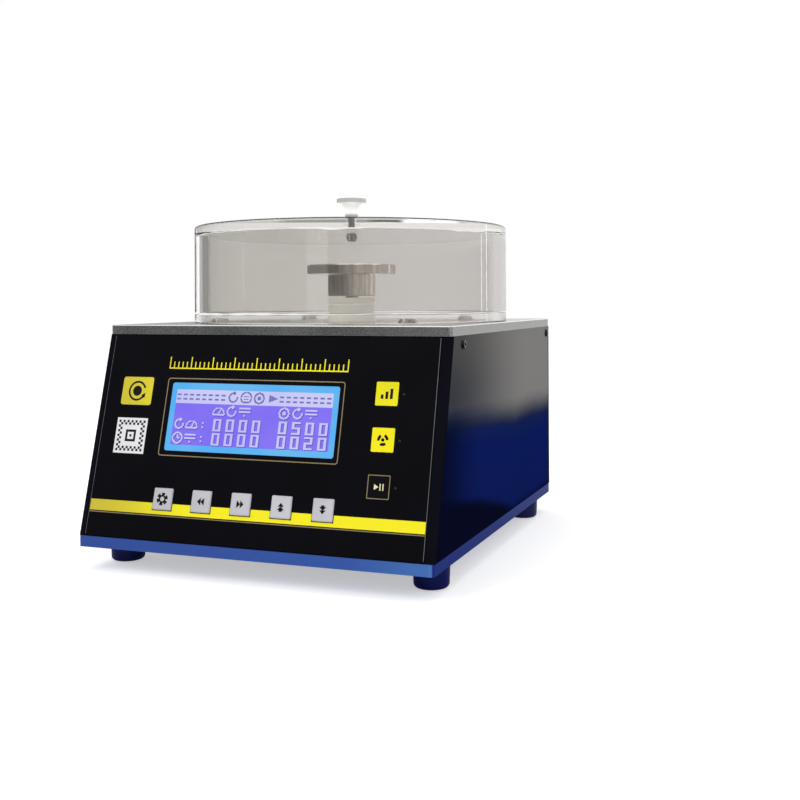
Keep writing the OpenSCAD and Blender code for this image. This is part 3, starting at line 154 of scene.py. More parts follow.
class Graph:
    """The node tree of one material or world, built by expressions."""

    def __init__(self, tree: bpy.types.NodeTree) -> None:
        """Empties a tree and takes it over."""
        self.tree = tree
        tree.nodes.clear()

    def node(self, kind: str, settings: dict | None = None, inputs: dict | None = None) -> bpy.types.Node:
        """Adds a node.

        Args:
            kind: the node's type name.
            settings: attributes that are set before the sockets.
            inputs: values, colours or links by socket name or number.

        Returns:
            The new node.
        """
        made = self.tree.nodes.new(kind)
        for name, value in (settings or {}).items():
            setattr(made, name, value)
        for name, value in (inputs or {}).items():
            self.feed(made.inputs[name], value)
        return made

    def feed(self, socket: bpy.types.NodeSocket, value: object) -> None:
        """Links a value to a socket, or sets the socket's own number or colour.

        Args:
            socket: the input.
            value: a link, a number or a colour.
        """
        if isinstance(value, Value):
            value = value.socket
        if isinstance(value, bpy.types.NodeSocket):
            self.tree.links.new(value, socket)
        elif isinstance(value, (tuple, list)) and len(value) == 3 and socket.type == "RGBA":
            socket.default_value = (*value, 1.0)
        else:
            socket.default_value = value

    def maths(self, kind: str, first: Number, second: Number) -> Value:
        """Adds a Math node of a kind and returns its result."""
        return Value(self, self.node("ShaderNodeMath", {"operation": kind}, {0: first, 1: second}).outputs[0])

    def mix(self, share: Number, first: object, second: object) -> Value:
        """Blends two colours, first at share 0 and second at share 1.

        Args:
            share: 0 to 1.
            first, second: colours, or values that hold one.

        Returns:
            The blend.
        """
        made = self.node("ShaderNodeMix", {"data_type": "RGBA"}, {0: share})
        self.feed(made.inputs[6], first)
        self.feed(made.inputs[7], second)
        return Value(self, made.outputs[2])

    def place(self) -> tuple[Value, Value, Value]:
        """Reads a point's place in the object's own frame.

        Returns:
            Its x, y and z in metres.
        """
        where = self.node("ShaderNodeTexCoord").outputs["Object"]
        split = self.node("ShaderNodeSeparateXYZ", None, {0: where})
        return tuple(Value(self, s) for s in split.outputs[:3])

    def noise(self, scale: float | Colour, detail: float = 2.0, at: tuple | None = None) -> Value:
        """Soft noise of 0 to 1.

        Args:
            scale: waves per metre, or as many along each axis.
            detail: octaves.
            at: three coordinates in place of the object's own.

        Returns:
            The noise's value.
        """
        waves = scale if isinstance(scale, tuple) else (scale,) * 3
        spot = [c * w for c, w in zip(at or self.place(), waves)]
        made = self.node("ShaderNodeTexNoise", {"noise_dimensions": "3D"}, {
            "Vector": self.node("ShaderNodeCombineXYZ", None, dict(enumerate(spot))).outputs[0],
            "Scale": 1.0, "Detail": detail,
        })
        return Value(self, made.outputs[0])

    def bump(self, height: Value, depth: float) -> Value:
        """A normal from a height of 0 to 1 over a depth in metres."""
        made = self.node("ShaderNodeBump", None, {"Height": height, "Distance": depth, "Strength": 1.0})
        return Value(self, made.outputs[0])


class Material:
    """One material: a graph that ends in a principled shader."""

    def __init__(self, name: str) -> None:
        """Makes the material, its graph and its shader.

        Args:
            name: the material's name.
        """
        self.data = bpy.data.materials.new(name)
        self.data.use_nodes = True
        self.graph = Graph(self.data.node_tree)
        self.shader = self.graph.node("ShaderNodeBsdfPrincipled")
        self.out = self.graph.node("ShaderNodeOutputMaterial", None, {0: self.shader.outputs[0]})

    def set(self, **sockets: object) -> None:
        """Feeds the shader's sockets; an underscore in a name stands for a space."""
        for name, value in sockets.items():
            self.graph.feed(self.shader.inputs[name.replace("_", " ")], value)


# --- finishes


class Grain(Enum):
    """How a metal was worked: the waves per metre and the octaves of its marks."""

    PLAIN = (160.0, 4.0)
    BRUSHED = ((18.0, 1500.0, 1500.0), 3.0)
    TURNED = ((1400.0, 0.0, 1400.0), 2.0)
    STREAKED = ((9.0, 9.0, 30.0), 3.0)
    SPECKLED = (1300.0, 3.0)


@dataclass(frozen=True)
class Finish:
    """A recipe for one material."""

    name: str

    def make(self) -> Paint:
        """Makes the material and paints it.

        Returns:
            The finished material.
        """
        made = Material(self.name)
        self.paint(made, made.graph)
        return made.data

    def paint(self, made: Material, graph: Graph) -> None:
        """Sets the shader's sockets; each kind of finish has its own way."""
        raise NotImplementedError


@dataclass(frozen=True)
class Metal(Finish):
    """Bare or plated metal."""

    colour: int
    rough: float = 0.25
    grain: Grain = Grain.PLAIN
    depth: float = 0.00002
    metallic: float = 1.0
    contrast: float = 0.28
    cut_x: float = 1.0
    bevel: Triple | None = None

    def pattern(self, graph: Graph) -> Value:
        """The marks of the tool: noise stretched along the way it ran, or about the chuck's axis.

        Args:
            graph: the material's nodes.

        Returns:
            The height of the marks, 0 to 1.
        """
        at = None
        if self.grain in (Grain.TURNED, Grain.STREAKED):
            x, y, z = graph.place()
            across = y - AXIS_Y * MM
            radius = (x * x + across * across) ** 0.5
            far = radius + 0.0005
            at = (radius, y, z) if self.grain is Grain.TURNED else (x / far, across / far, z)
        return graph.noise(*self.grain.value, at)

    def paint(self, made: Material, graph: Graph) -> None:
        """Colour and roughness follow the marks a little, and the marks are raised.

        The cut edge past cut_x is darkened as painted shade. The bevel carries a painted highlight
        where x is past its first value or y before its second, and the height is above its third.

        Args:
            made: the material.
            graph: its nodes.
        """
        marks = self.pattern(graph)
        wear = graph.noise(24.0, 3.0)
        plain = srgb(self.colour)
        colour = graph.mix((marks * 0.6 + wear * 0.4).ramp(0.3, 0.65), dim(plain, 1.0 - self.contrast), plain)
        x, y, z = graph.place()
        # Painted shade: past cut_x the colour drops to CUT_SHADE of its light.
        if self.cut_x < 1.0:
            colour = graph.mix(x.ramp(self.cut_x - 0.0004, self.cut_x), colour, dim(plain, CUT_SHADE))
        # Painted highlight: the bevel's colour is set bright.
        if self.bevel:
            side, ahead, low = self.bevel
            rim = (1.0 - y.ramp(ahead, ahead + 0.0001)).most(x.ramp(side - 0.0001, side))
            colour = graph.mix(rim * z.ramp(low - 0.00005, low + 0.00005), colour, BEVEL_LIGHT)
        made.set(
            Base_Color=colour, Metallic=self.metallic, Normal=graph.bump(marks, self.depth),
            Roughness=self.rough + (marks - 0.5) * 0.16 + (wear - 0.5) * 0.1,
        )


@dataclass(frozen=True)
class Plastic(Finish):
    """Moulded plastic, paint or rubber with a fine skin."""

    colour: int
    rough: float = 0.4
    scale: float = 900.0
    depth: float = 0.00003
    spec: float = 0.5
    coat: float = 0.0
    glow: float = 0.0

    def paint(self, made: Material, graph: Graph) -> None:
        """The colour drifts a little, noise of the given scale raises the skin, and glow, an emitted painted
        light, lifts the shade.

        Args:
            made: the material.
            graph: its nodes.
        """
        skin = graph.noise(self.scale)
        drift = graph.noise(30.0, 3.0)
        plain = srgb(self.colour)
        made.set(
            Base_Color=graph.mix(drift.ramp(0.25, 0.75), dim(plain, 0.82), plain),
            Roughness=self.rough + (drift - 0.5) * 0.12, Normal=graph.bump(skin, self.depth),
            Specular_IOR_Level=self.spec, Coat_Weight=self.coat, Coat_Roughness=0.08,
            Emission_Color=plain, Emission_Strength=self.glow,
        )


@dataclass(frozen=True)
class Fade(Finish):
    """A coated sheet whose colour runs through stops along one coordinate; the stops can paint in light, shade
    and reflections.
    """

    stops: tuple[tuple[float, int], ...]
    along: int = 2
    rough: float = 0.35
    metallic: float = 0.0
    spec: float = 0.3
    grain: float = 700.0
    depth: float = 0.00002
    drift: float = 0.006
    front: Box | None = None
    # An emitted glow, painted light that lifts the shade.
    glow: float = 0.0
    tilt: Triple | None = None
    pale: int | None = None

    def paint(self, made: Material, graph: Graph) -> None:
        """Blends from stop to stop, each by a smooth step between two places in metres.

        Where front is given as y from, y to, height from and height to, painted shade darkens the colour
        ahead of those places and below that height, and painted light turns it pale behind and above them.
        A tilt (a, b, c) adds (y - c)(a + b z) to the height, so that the stops slant as far back as LEVEL_FROM.

        Args:
            made: the material.
            graph: its nodes.
        """
        spot = graph.place()
        drift = graph.noise(22.0, 3.0)
        moved = spot[self.along] + (drift - 0.5) * self.drift
        if self.tilt:
            rise, change, start = self.tilt
            moved = moved + (spot[1].least(LEVEL_FROM) - start) * (spot[2] * change + rise)
        colour: object = srgb(self.stops[0][1])
        for (low, _), (high, following) in zip(self.stops, self.stops[1:]):
            colour = graph.mix(moved.ramp(low, high), colour, srgb(following))
        # Painted shade ahead and below.
        if self.front:
            near, far, low, high = self.front
            shade = (1.0 - (spot[1] + (drift - 0.5) * 0.02).ramp(near, far)) * (1.0 - spot[2].ramp(low, high))
            colour = graph.mix(shade * 0.95, colour, srgb(FRONT_SHADE))
            # Painted light: pale behind and above.
            if self.pale:
                behind = spot[1].ramp(near + 0.02, 0.06) * moved.ramp(low, high)
                colour = graph.mix(behind, colour, srgb(self.pale))
        skin = graph.noise(self.grain)
        made.set(
            Base_Color=colour, Roughness=self.rough + (skin - 0.5) * 0.1, Metallic=self.metallic,
            Specular_IOR_Level=self.spec, Normal=graph.bump(skin, self.depth),
            Emission_Color=colour, Emission_Strength=self.glow,
        )


@dataclass(frozen=True)
class Clear(Finish):
    """Clear acrylic or silicone, with fine wiping marks."""

    tint: Colour
    light: Colour
    rough: float = 0.0
    ior: float = 1.49

    def paint(self, made: Material, graph: Graph) -> None:
        """Light passes through, tinted more at one side and painted lighter at the other, a painted light;
        shadow rays pass almost unhindered.

        Args:
            made: the material.
            graph: its nodes.
        """
        wipe = graph.noise((9.0, 9.0, 160.0), 3.0)
        x, y, _ = graph.place()
        # Painted light: the tint turns lighter along SIDE_ON.
        side = x * SIDE_ON[0] + (y - AXIS_Y * MM) * SIDE_ON[1]
        tint = graph.mix(side.ramp(-0.015, 0.055), self.tint, self.light)
        made.set(
            Base_Color=graph.mix(wipe.ramp(0.35, 0.7) * 0.15, tint, self.light),
            Roughness=self.rough, IOR=self.ior, Transmission_Weight=1.0,
        )
        path = graph.node("ShaderNodeLightPath")
        through = graph.node("ShaderNodeBsdfTransparent", None, {0: (0.92, 0.92, 0.92)})
        both = graph.node("ShaderNodeMixShader", None, {
            0: path.outputs["Is Shadow Ray"], 1: made.shader.outputs[0], 2: through.outputs[0],
        })
        graph.feed(made.out.inputs[0], both.outputs[0])


@dataclass(frozen=True)
class Lit(Finish):
    """A surface that glows at its own colour, as a lit display does; on the glue beads the glow is painted
    light.
    """

    colour: int
    edge: int
    power: float = 1.0

    def paint(self, made: Material, graph: Graph) -> None:
        """The glow drifts between two colours across the pane.

        Args:
            made: the material.
            graph: its nodes.
        """
        drift = graph.noise((26.0, 26.0, 40.0))
        made.set(
            Base_Color=(0.0, 0.0, 0.0), Roughness=0.35, Specular_IOR_Level=0.1,
            Emission_Color=graph.mix(drift.ramp(0.3, 0.7), srgb(self.colour), srgb(self.edge)),
            Emission_Strength=self.power,
        )


# --- surfaces


def show(name: str, data: bpy.types.ID) -> Thing:
    """Adds an object with its data to the scene.

    Args:
        name: the object's name.
        data: its mesh, lamp or camera.

    Returns:
        The object.
    """
    made = bpy.data.objects.new(name, data)
    bpy.context.scene.collection.objects.link(made)
    return made


def circle(count: int) -> Grid:
    """Angles round a full turn, the end left out."""
    return np.linspace(0.0, 2.0 * math.pi, count, endpoint=False)


def add_piece(name: str, points: Grid, faces: Sequence, body: str, finish: Paint,
              slot: str, smooth: bool = False) -> Thing:
    """Puts a finished mesh into the scene.

    Args:
        name: the piece's name.
        points: its vertices in millimetres, in the shared frame.
        faces: tuples or rows of vertex numbers.
        body: the moving body it rides on.
        finish: its material.
        slot: not used.
        smooth: whether its faces are shaded as one surface.

    Returns:
        The new object.
    """
    mesh = bpy.data.meshes.new(name)
    mesh.from_pydata((np.asarray(points) * MM).tolist(), [], [list(map(int, f)) for f in faces])
    mesh.polygons.foreach_set("use_smooth", np.full(len(mesh.polygons), smooth))
    mesh.materials.append(finish)
    mesh.update()
    made = show(name, mesh)
    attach(made, body)
    LOG.info("%s: %d faces on %s", name, len(mesh.polygons), body)
    return made


def crease(piece: Thing, degrees: float = 32.0) -> None:
    """Smooths a piece's faces and marks as sharp its edges that turn by more than an angle."""
    piece.data.polygons.foreach_set("use_smooth", np.full(len(piece.data.polygons), True))
    piece.data.set_sharp_from_angle(angle=math.radians(degrees))


def supported(profile: Grid, near: float = 0.12, longest: float = 1.0) -> Grid:
    """Adds a point near each end of a closed profile's long edges, so that they shade as straight.

    Args:
        profile: rows of radius and height.
        near: the distance of the new points from the ends.
        longest: edges up to this length stay as they are.

    Returns:
        The profile with p + near * d and q - near * d on each edge from p to q of direction d.
    """
    rows = []
    for here, there in zip(profile, np.roll(profile, -1, axis=0)):
        span = float(np.linalg.norm(there - here))
        rows.append(here)
        if span > longest:
            step = (there - here) / span * near
            rows += [here + step, there - step]
    return np.array(rows)


def closed_quads(rows: int, cols: int) -> Grid:
    """Quads between neighbours in a grid of points that closes on itself both ways.

    Args:
        rows, cols: how many points the grid has each way.

    Returns:
        Rows of four point numbers.
    """
    i, j = np.meshgrid(np.arange(rows), np.arange(cols), indexing="ij")
    i2, j2 = (i + 1) % rows, (j + 1) % cols
    return np.stack([i * cols + j, i2 * cols + j, i2 * cols + j2, i * cols + j2], axis=-1).reshape(-1, 4)


def revolve(profile: Grid, axis: Sequence[float], count: int) -> tuple[Grid, Grid]:
    """Turns a closed profile about a vertical axis.

    Args:
        profile: rows of radius and height, running anticlockwise seen with the axis at the left.
        axis: the axis' x and y.
        count: the steps round it.

    Returns:
        Points x = ax + r cos t, y = ay + r sin t, z = h on a grid of t by profile row, and quads.
    """
    turn = circle(count)[:, None]
    radius, height = profile[:, 0][None, :], profile[:, 1][None, :]
    spots = [axis[0] + radius * np.cos(turn), axis[1] + radius * np.sin(turn), height + 0 * turn]
    return np.stack(spots, axis=-1).reshape(-1, 3), closed_quads(count, len(profile))


def rounded(corners: Sequence[Triple], steps: int = 5) -> Grid:
    """Rounds each corner of a closed outline.

    Args:
        corners: x, y and radius of each corner, anticlockwise.
        steps: the points on each rounding.

    Returns:
        The outline: each corner of radius r gives points c + r (cos a, sin a) about its centre c.
    """
    spots = np.array([c[:2] for c in corners], float)
    outline = []
    for here, (spot, before, after) in zip(corners, zip(spots, np.roll(spots, 1, 0), np.roll(spots, -1, 0))):
        radius = here[2]
        if radius <= 0:
            outline.append(spot[None, :])
            continue
        back = (before - spot) / np.linalg.norm(before - spot)
        ahead = (after - spot) / np.linalg.norm(after - spot)
        half = math.acos(float(np.clip(back @ ahead, -1, 1))) / 2
        middle = spot + (back + ahead) / np.linalg.norm(back + ahead) * radius / math.sin(half)
        start = spot + back * radius / math.tan(half) - middle
        end = spot + ahead * radius / math.tan(half) - middle
        first = math.atan2(start[1], start[0])
        sweep = math.remainder(math.atan2(end[1], end[0]) - first, 2 * math.pi)
        angle = (first + sweep * np.linspace(0, 1, steps))[:, None]
        outline.append(middle + radius * np.hstack([np.cos(angle), np.sin(angle)]))
    return np.vstack(outline)


def box_outline(u: float, v: float, w: float, h: float, radius: float = 0.0) -> Grid:
    """The outline of a rectangle, with square or rounded corners.

    Args:
        u, v: its middle.
        w, h: its sides.
        radius: the rounding of its corners.

    Returns:
        Its points, anticlockwise.
    """
    return rounded([
        (u - w / 2, v - h / 2, radius), (u + w / 2, v - h / 2, radius),
        (u + w / 2, v + h / 2, radius), (u - w / 2, v + h / 2, radius),
    ])


def span_outline(left: float, right: float, low: float, high: float) -> Grid:
    """The outline of a rectangle by its sides."""
    return box_outline((left + right) / 2, (low + high) / 2, right - left, high - low)


def circle_outline(u: float, v: float, radius: float, count: int = 40) -> Grid:
    """Points (u + r cos t, v + r sin t) round a circle."""
    turn = circle(count)
    return np.stack([u + radius * np.cos(turn), v + radius * np.sin(turn)], axis=1)


def arc_band(u: float, v: float, radius: float, width: float, start: float, end: float) -> Grid:
    """A bent bar: arcs at radius + width/2 and back at radius - width/2.

    Args:
        u, v: the middle of the bend.
        radius, width: its middle line and its thickness.
        start, end: the angles of its ends in degrees.

    Returns:
        Its outline.
    """
    turn = np.radians(np.linspace(start, end, 24))
    turn = np.append(turn, turn[::-1])
    reach = radius + width / 2 * np.repeat((1, -1), 24)
    return np.stack([u + reach * np.cos(turn), v + reach * np.sin(turn)], axis=1)


@dataclass(frozen=True)
class Panel:
    """The sloping front panel's own plane: u to the right, v up the slope, w outwards."""

    tilt: float = 15.0
    front: float = -131.1
    foot: float = 18.8
    film: float = 0.6

    def lift(self, u: Grid, v: Grid, w: Grid) -> Grid:
        """Places panel points in the frame: (u, front + v sin a - w cos a, foot + v cos a + w sin a).

        Args:
            u, v, w: places in the panel's own axes, in millimetres.

        Returns:
            Points, with x, y and z along the last axis.
        """
        lean = math.radians(self.tilt)
        u, v, w = np.broadcast_arrays(u, v, w)
        return np.stack([
            u, self.front + v * math.sin(lean) - w * math.cos(lean),
            self.foot + v * math.cos(lean) + w * math.sin(lean),
        ], axis=-1)

    def lay(self, name: str, shapes: Sequence, low: float, high: float, body: str, finish: Paint,
            slot: str) -> None:
        """Adds closed solids that stand on the panel, as one piece.

        Args:
            name: the piece's name.
            shapes: closed outlines in u and v, or pairs of an outer and an inner one of as many points.
            low, high: the heights of the undersides and of the faces.
            body, finish, slot: as for any piece.
        """
        points, faces, base = [], [], 0
        for shape in shapes:
            framed = isinstance(shape, tuple)
            outer, inner = shape if framed else (shape, shape)
            after = np.roll(outer, -1, axis=0)
            if (outer[:, 0] * after[:, 1] - outer[:, 1] * after[:, 0]).sum() < 0:
                outer = outer[::-1]
            count = len(outer)
            rings = [(outer, low), (outer, high), (inner, high), (inner, low)][:4 if framed else 2]
            points += [self.lift(o[:, 0], o[:, 1], w) for o, w in rings]
            ring = base + np.arange(count)
            turn = np.roll(ring, -1)
            if not framed:
                faces += [ring[::-1], ring + count]
            for a, b in ((0, 1), (1, 2), (2, 3), (3, 0))[:4 if framed else 1]:
                quad = [ring + a * count, turn + a * count, turn + b * count, ring + b * count]
                faces += list(np.stack(quad, axis=1))
            base += len(rings) * count
        add_piece(name, np.vstack(points), faces, body, finish, slot)

    def dots(self, u: Grid, v: Grid, wide: float, high: float, low: float, top: float) -> tuple[Grid, Grid]:
        """One small closed block at each place.

        Args:
            u, v: the middles of the blocks.
            wide, high: the blocks' sides.
            low, top: their undersides and faces over the panel.

        Returns:
            Eight points and six quads for each block.
        """
        du = np.array([-1, 1, 1, -1] * 2) * wide / 2
        dv = np.array([-1, -1, 1, 1] * 2) * high / 2
        dw = np.array([low] * 4 + [top] * 4)
        points = self.lift(u[:, None] + du, v[:, None] + dv, dw + 0 * u[:, None])
        block = np.array([[3, 2, 1, 0], [4, 5, 6, 7], [0, 1, 5, 4], [1, 2, 6, 5], [2, 3, 7, 6], [3, 0, 4, 7]])
        quads = (np.arange(len(u)) * 8)[:, None, None] + block
        return points.reshape(-1, 3), quads.reshape(-1, 4)


# --- studio


@dataclass
class Studio:
    """Camera, floor and soft light."""

    eye: Triple = (0.27709, -0.62526, 0.14947)
    right: Triple = (0.93971, 0.34194, -0.00486)
    up: Triple = (0.00682, -0.00453, 0.99997)
    ahead: Triple = (-0.34190, 0.93971, 0.00659)
    lens: float = 47.82
    shift: Pair = (-0.0232, -0.1343)
    ambient: float = 0.7
    floor_half: float = 6.0

    def build(self) -> None:
        """Makes the camera, the world, the floor and the lamps."""
        self.camera()
        self.world()
        self.floor()
        self.lamp("key", (-1.1, -1.5, 1.6), 1.4, 14.0, False)
        self.lamp("fill", (1.5, -0.9, 1.1), 1.2, 4.0, False)
        self.lamp("top", (0.0, 0.5, 2.0), 1.6, 10.0, False)
        self.lamp("glint", (-0.9, -1.2, 1.5), 0.3, 1.2, True)
        strip = self.lamp("strip", (1.05, 1.06, 0.25), 0.5, 0.16, True)
        strip.data.shape, strip.data.size, strip.data.size_y = "RECTANGLE", 0.02, 0.5
        strip.visible_diffuse = False
        bpy.context.scene.view_settings.view_transform = "Standard"

    def camera(self) -> None:
        """Sets the camera by its three axes."""
        data = bpy.data.cameras.new("camera")
        data.lens = self.lens
        data.sensor_width = 36.0
        data.shift_x, data.shift_y = self.shift
        data.clip_start, data.clip_end = 0.01, 50.0
        made = show("camera", data)
        axes = Matrix((self.right, self.up, [-c for c in self.ahead])).transposed().to_4x4()
        made.matrix_world = Matrix.Translation(self.eye) @ axes
        bpy.context.scene.camera = made

    def world(self) -> None:
        """A white surround, whose strength differs for the rays that mirrors and clear walls send out.

        Straight rays see 1 and soft light the ambient strength. A mirror sees a room that brightens to
        the right, ahead and upwards, with a dark card ahead at the left; a ray that has crossed one
        clear wall sees bands side by side, and one that has crossed more a room dimmed behind the camera.
        """
        world = bpy.data.worlds.new("surround")
        world.use_nodes = True
        bpy.context.scene.world = world
        graph = Graph(world.node_tree)
        path = graph.node("ShaderNodeLightPath")
        ray = graph.node("ShaderNodeTexCoord").outputs["Generated"]
        split = graph.node("ShaderNodeSeparateXYZ", None, {0: ray})
        x, y, z = (Value(graph, s) for s in split.outputs[:3])
        across = x * self.right[0] + y * self.right[1]
        away = x * self.ahead[0] + y * self.ahead[1]
        passed = Value(graph, path.outputs["Transmission Depth"])
        soft = Value(graph, path.outputs["Diffuse Depth"]).ramp(0.2, 0.8)
        mirror = Value(graph, path.outputs["Glossy Depth"]).ramp(0.2, 0.8)
        bent = passed.ramp(0.2, 0.8)
        room = (
            across.ramp(-0.9, 0.9) * 0.68 + away.ramp(0.8, 0.98) * 0.5 + z.ramp(0.25, 0.9) * 0.6 + 0.2
        ).least(1.0)
        edge = (
            across.ramp(-0.52, -0.48) * 1.9 - across.ramp(-0.27, -0.22) * 2.15 + across.ramp(-0.15, -0.1) * 0.3
            + across.ramp(0.15, 0.25) * 0.33 + 0.42
        )
        one_wall = bent * (1.0 - passed.ramp(2.4, 2.6))
        card = across.ramp(-0.5, -0.42) * (1.0 - across.ramp(-0.17, -0.12)) * away.ramp(0.8, 0.86)
        room = room * (1.0 - card * (1.0 - z.ramp(0.1, 0.2)) * 0.85)
        room = one_wall * edge + (1.0 - one_wall) * room
        behind_glass = away.ramp(-0.2, 0.7) * 0.7 + 0.3 + (1.0 - across.ramp(-0.62, -0.42)) * 0.35
        seen = mirror * room + (1.0 - mirror) * (bent * behind_glass + (1.0 - bent))
        power = soft * self.ambient + (1.0 - soft) * seen
        shade = graph.node("ShaderNodeBackground", None, {"Color": (1.0, 1.0, 1.0), "Strength": power})
        graph.node("ShaderNodeOutputWorld", None, {0: shade.outputs[0]})

    def floor(self) -> None:
        """A pale floor that meets the white surround and keeps the shadow; mirrors see it dark ahead of the
        case, a painted shade.
        """
        made = Material("pale_floor")
        graph = made.graph
        path = graph.node("ShaderNodeLightPath")
        straight, through, glossy = (
            Value(graph, path.outputs[f"Is {kind} Ray"]) for kind in ("Camera", "Transmission", "Glossy")
        )
        place = graph.place()
        behind = (place[0] * self.ahead[0] + place[1] * self.ahead[1]).ramp(-0.3, 0.7)
        grain = graph.noise(90.0, 2.0)
        pale = graph.mix(grain, (0.8, 0.8, 0.8), (0.82, 0.82, 0.82))
        # Painted shade for mirrors: dark ahead of the case; the glow is the floor's even brightness.
        made.set(
            Base_Color=graph.mix(glossy * (1.0 - behind), pale, (0.1, 0.1, 0.11)), Roughness=0.9,
            Specular_IOR_Level=0.0, Emission_Color=(1.0, 1.0, 1.0),
            Emission_Strength=straight.most(through).most(glossy * behind) * FLOOR_GLOW,
        )
        mesh = bpy.data.meshes.new("floor")
        spots = [(x * self.floor_half, y * self.floor_half, 0) for x, y in ((-1, -1), (1, -1), (1, 1), (-1, 1))]
        mesh.from_pydata(spots, [], [(0, 1, 2, 3)])
        mesh.materials.append(made.data)
        floor = show("floor", mesh)
        floor.location.z = -0.0002

    def lamp(self, name: str, place: Triple, side: float, power: float, shines: bool) -> Thing:
        """Adds a square lamp that looks at the case.

        Args:
            name, place: its name and where it stands, in metres.
            side, power: its side in metres and its power in watts.
            shines: whether polished faces show it.

        Returns:
            The lamp.
        """
        data = bpy.data.lights.new(name, "AREA")
        data.size, data.energy = side, power
        made = show(name, data)
        made.location = place
        made.visible_glossy = shines
        made.rotation_euler = (Vector((0, 0, 0.12)) - Vector(place)).to_track_quat("-Z", "Y").to_euler()
        return made


# --- control panel


class Ink(Enum):
    """The colours printed on the panel."""

    YELLOW = 0xFAEE18
    BEIGE = 0x968460
    PALE = 0xF0ECBE
    LINE = 0x808082
    WHITE = 0xE8E8EA
    BLACK = 0x121110


@dataclass
class Inks:
    """The materials of the inks, made once each; the yellow one carries painted shade, duller towards its left
    end.
    """

    rough: float = 0.42
    spec: float = 0.25
    scale: float = 2400.0
    depth: float = 0.000004
    left_shade: int = 0xCCBC32
    left_shade_x: Pair = (-0.1, -0.03)
    made: dict[Ink, Paint] = field(default_factory=dict)

    def __getitem__(self, ink: Ink) -> Paint:
        """Finds or makes an ink's material.

        Args:
            ink: the ink.

        Returns:
            The material.
        """
        if ink not in self.made:
            name = f"ink_{ink.name.lower()}"
            skin = {"rough": self.rough, "spec": self.spec, "depth": self.depth}
            finish: Finish = Plastic(name, ink.value, scale=self.scale, **skin)
            # Painted shade: the yellow darkens towards its left end.
            if ink is Ink.YELLOW:
                stops = ((self.left_shade_x[0], self.left_shade), (self.left_shade_x[1], ink.value))
                finish = Fade(name, stops, 0, grain=self.scale, **skin)
            self.made[ink] = finish.make()
        return self.made[ink]


@dataclass
class PrintedPanel:
    """The marks printed on the overlay, each a thin closed plate."""

    panel: Panel
    inks: Inks
    ink_t: float = 0.04
    stripe: Box = (-100.6, 98.9, 14.4, 20.4)
    rule: Pair = (13.35, 13.85)
    pane: Box = (-6.9, 68.2, 109.3, 43.8)
    pane_line: float = 0.55
    badge: Box = (-81.0, 82.1, 20.0, 16.0)
    target: Triple = (-81.2, 56.6, 20.0)
    scale_u: Pair = (-61.7, 48.3)
    scale_v: float = 96.0

    def ink(self, name: str, ink: Ink, shapes: Sequence, level: int = 0) -> None:
        """Prints shapes in one ink, a level above what they lie on."""
        low = self.panel.film + level * self.ink_t + 0.005
        self.panel.lay(name, shapes, low, low + self.ink_t, "case", self.inks[ink], "overlay_film")

    def build(self) -> None:
        """Prints the stripe, lines, badge, target and scale."""
        self.print_stripe()
        u, v, w, h = self.pane
        line = 2 * self.pane_line
        pair = (box_outline(u, v, w, h, 1.6), box_outline(u, v, w - line, h - line, 1.1))
        self.ink("pane_line", Ink.BEIGE, [pair])
        self.print_badge()
        self.print_target()
        self.print_scale()

    def print_stripe(self) -> None:
        """The yellow stripe stops at the sides of the keys that stand in it."""
        left, right, low, high = self.stripe
        half = KEY_ROW_W / 2 + 0.45
        keys_low = KEY_ROW_V - half
        edges = [left] + [e for u in KEY_ROW_U for e in (u - half, u + half)] + [right]
        spans = [(left, right, low, keys_low)]
        spans += [(a, b, keys_low, high) for a, b in zip(edges[::2], edges[1::2])]
        self.ink("stripe", Ink.YELLOW, [span_outline(*span) for span in spans])
        self.ink("stripe_rule", Ink.BEIGE, [span_outline(left, right, *self.rule)])
        self.ink("film_edges", Ink.LINE, [
            box_outline(right + 0.25, 57.7, 0.24, 113.0), box_outline(left - 0.35, 57.7, 0.14, 113.0),
        ])

    def print_badge(self) -> None:
        """A yellow badge with a wafer and the arrow of its turning."""
        u, v, w, h = self.badge
        self.ink("badge", Ink.YELLOW, [box_outline(u, v, w, h, 1.4)])
        tip = np.array([1.9j, -1.4 - 0.8j, 1.4 - 0.8j]) * np.exp(-1j * math.radians(35.0))
        tip = tip + complex(u, v) + 5.2 * np.exp(-1j * math.radians(30.0))
        arrow = [arc_band(u, v, 5.2, 1.1, 20.0, 325.0), np.stack([tip.real, tip.imag], axis=1)]
        self.ink("badge_mark", Ink.BLACK, [circle_outline(u, v, 2.9)] + arrow, level=1)

    def print_target(self) -> None:
        """A white patch with nested squares inside a chequered border, for lining up a camera."""
        u, v, side = self.target
        self.ink("target", Ink.WHITE, [box_outline(u, v, side, side)])
        cell = side / 15.0
        steps = np.arange(13) - 6
        i, j = np.meshgrid(steps, steps)
        ring = np.maximum(np.abs(i), np.abs(j))
        inked = np.where(ring < 4, ring % 2 == 0, (ring > 4) & ((i + j) % 2 == 0))
        low = self.panel.film + self.ink_t + 0.01
        points, quads = self.panel.dots(
            u + i[inked] * cell, v + j[inked] * cell, cell * 0.998, cell * 0.998, low, low + self.ink_t
        )
        add_piece("target_chequer", points, quads, "case", self.inks[Ink.BLACK], "overlay_film")

    def print_scale(self) -> None:
        """A graduated rule: a long tick at every fifth place and short ones between."""
        left, right = self.scale_u
        places = np.linspace(left, right, 41)
        ticks = [
            box_outline(u, self.scale_v + tall / 2, 0.62, tall)
            for u, tall in ((u, 6.2 if n % 5 == 0 else 3.4) for n, u in enumerate(places))
        ]
        line = box_outline((left + right) / 2, self.scale_v - 0.35, right - left + 0.62, 0.7)
        self.ink("scale", Ink.YELLOW, ticks + [line])


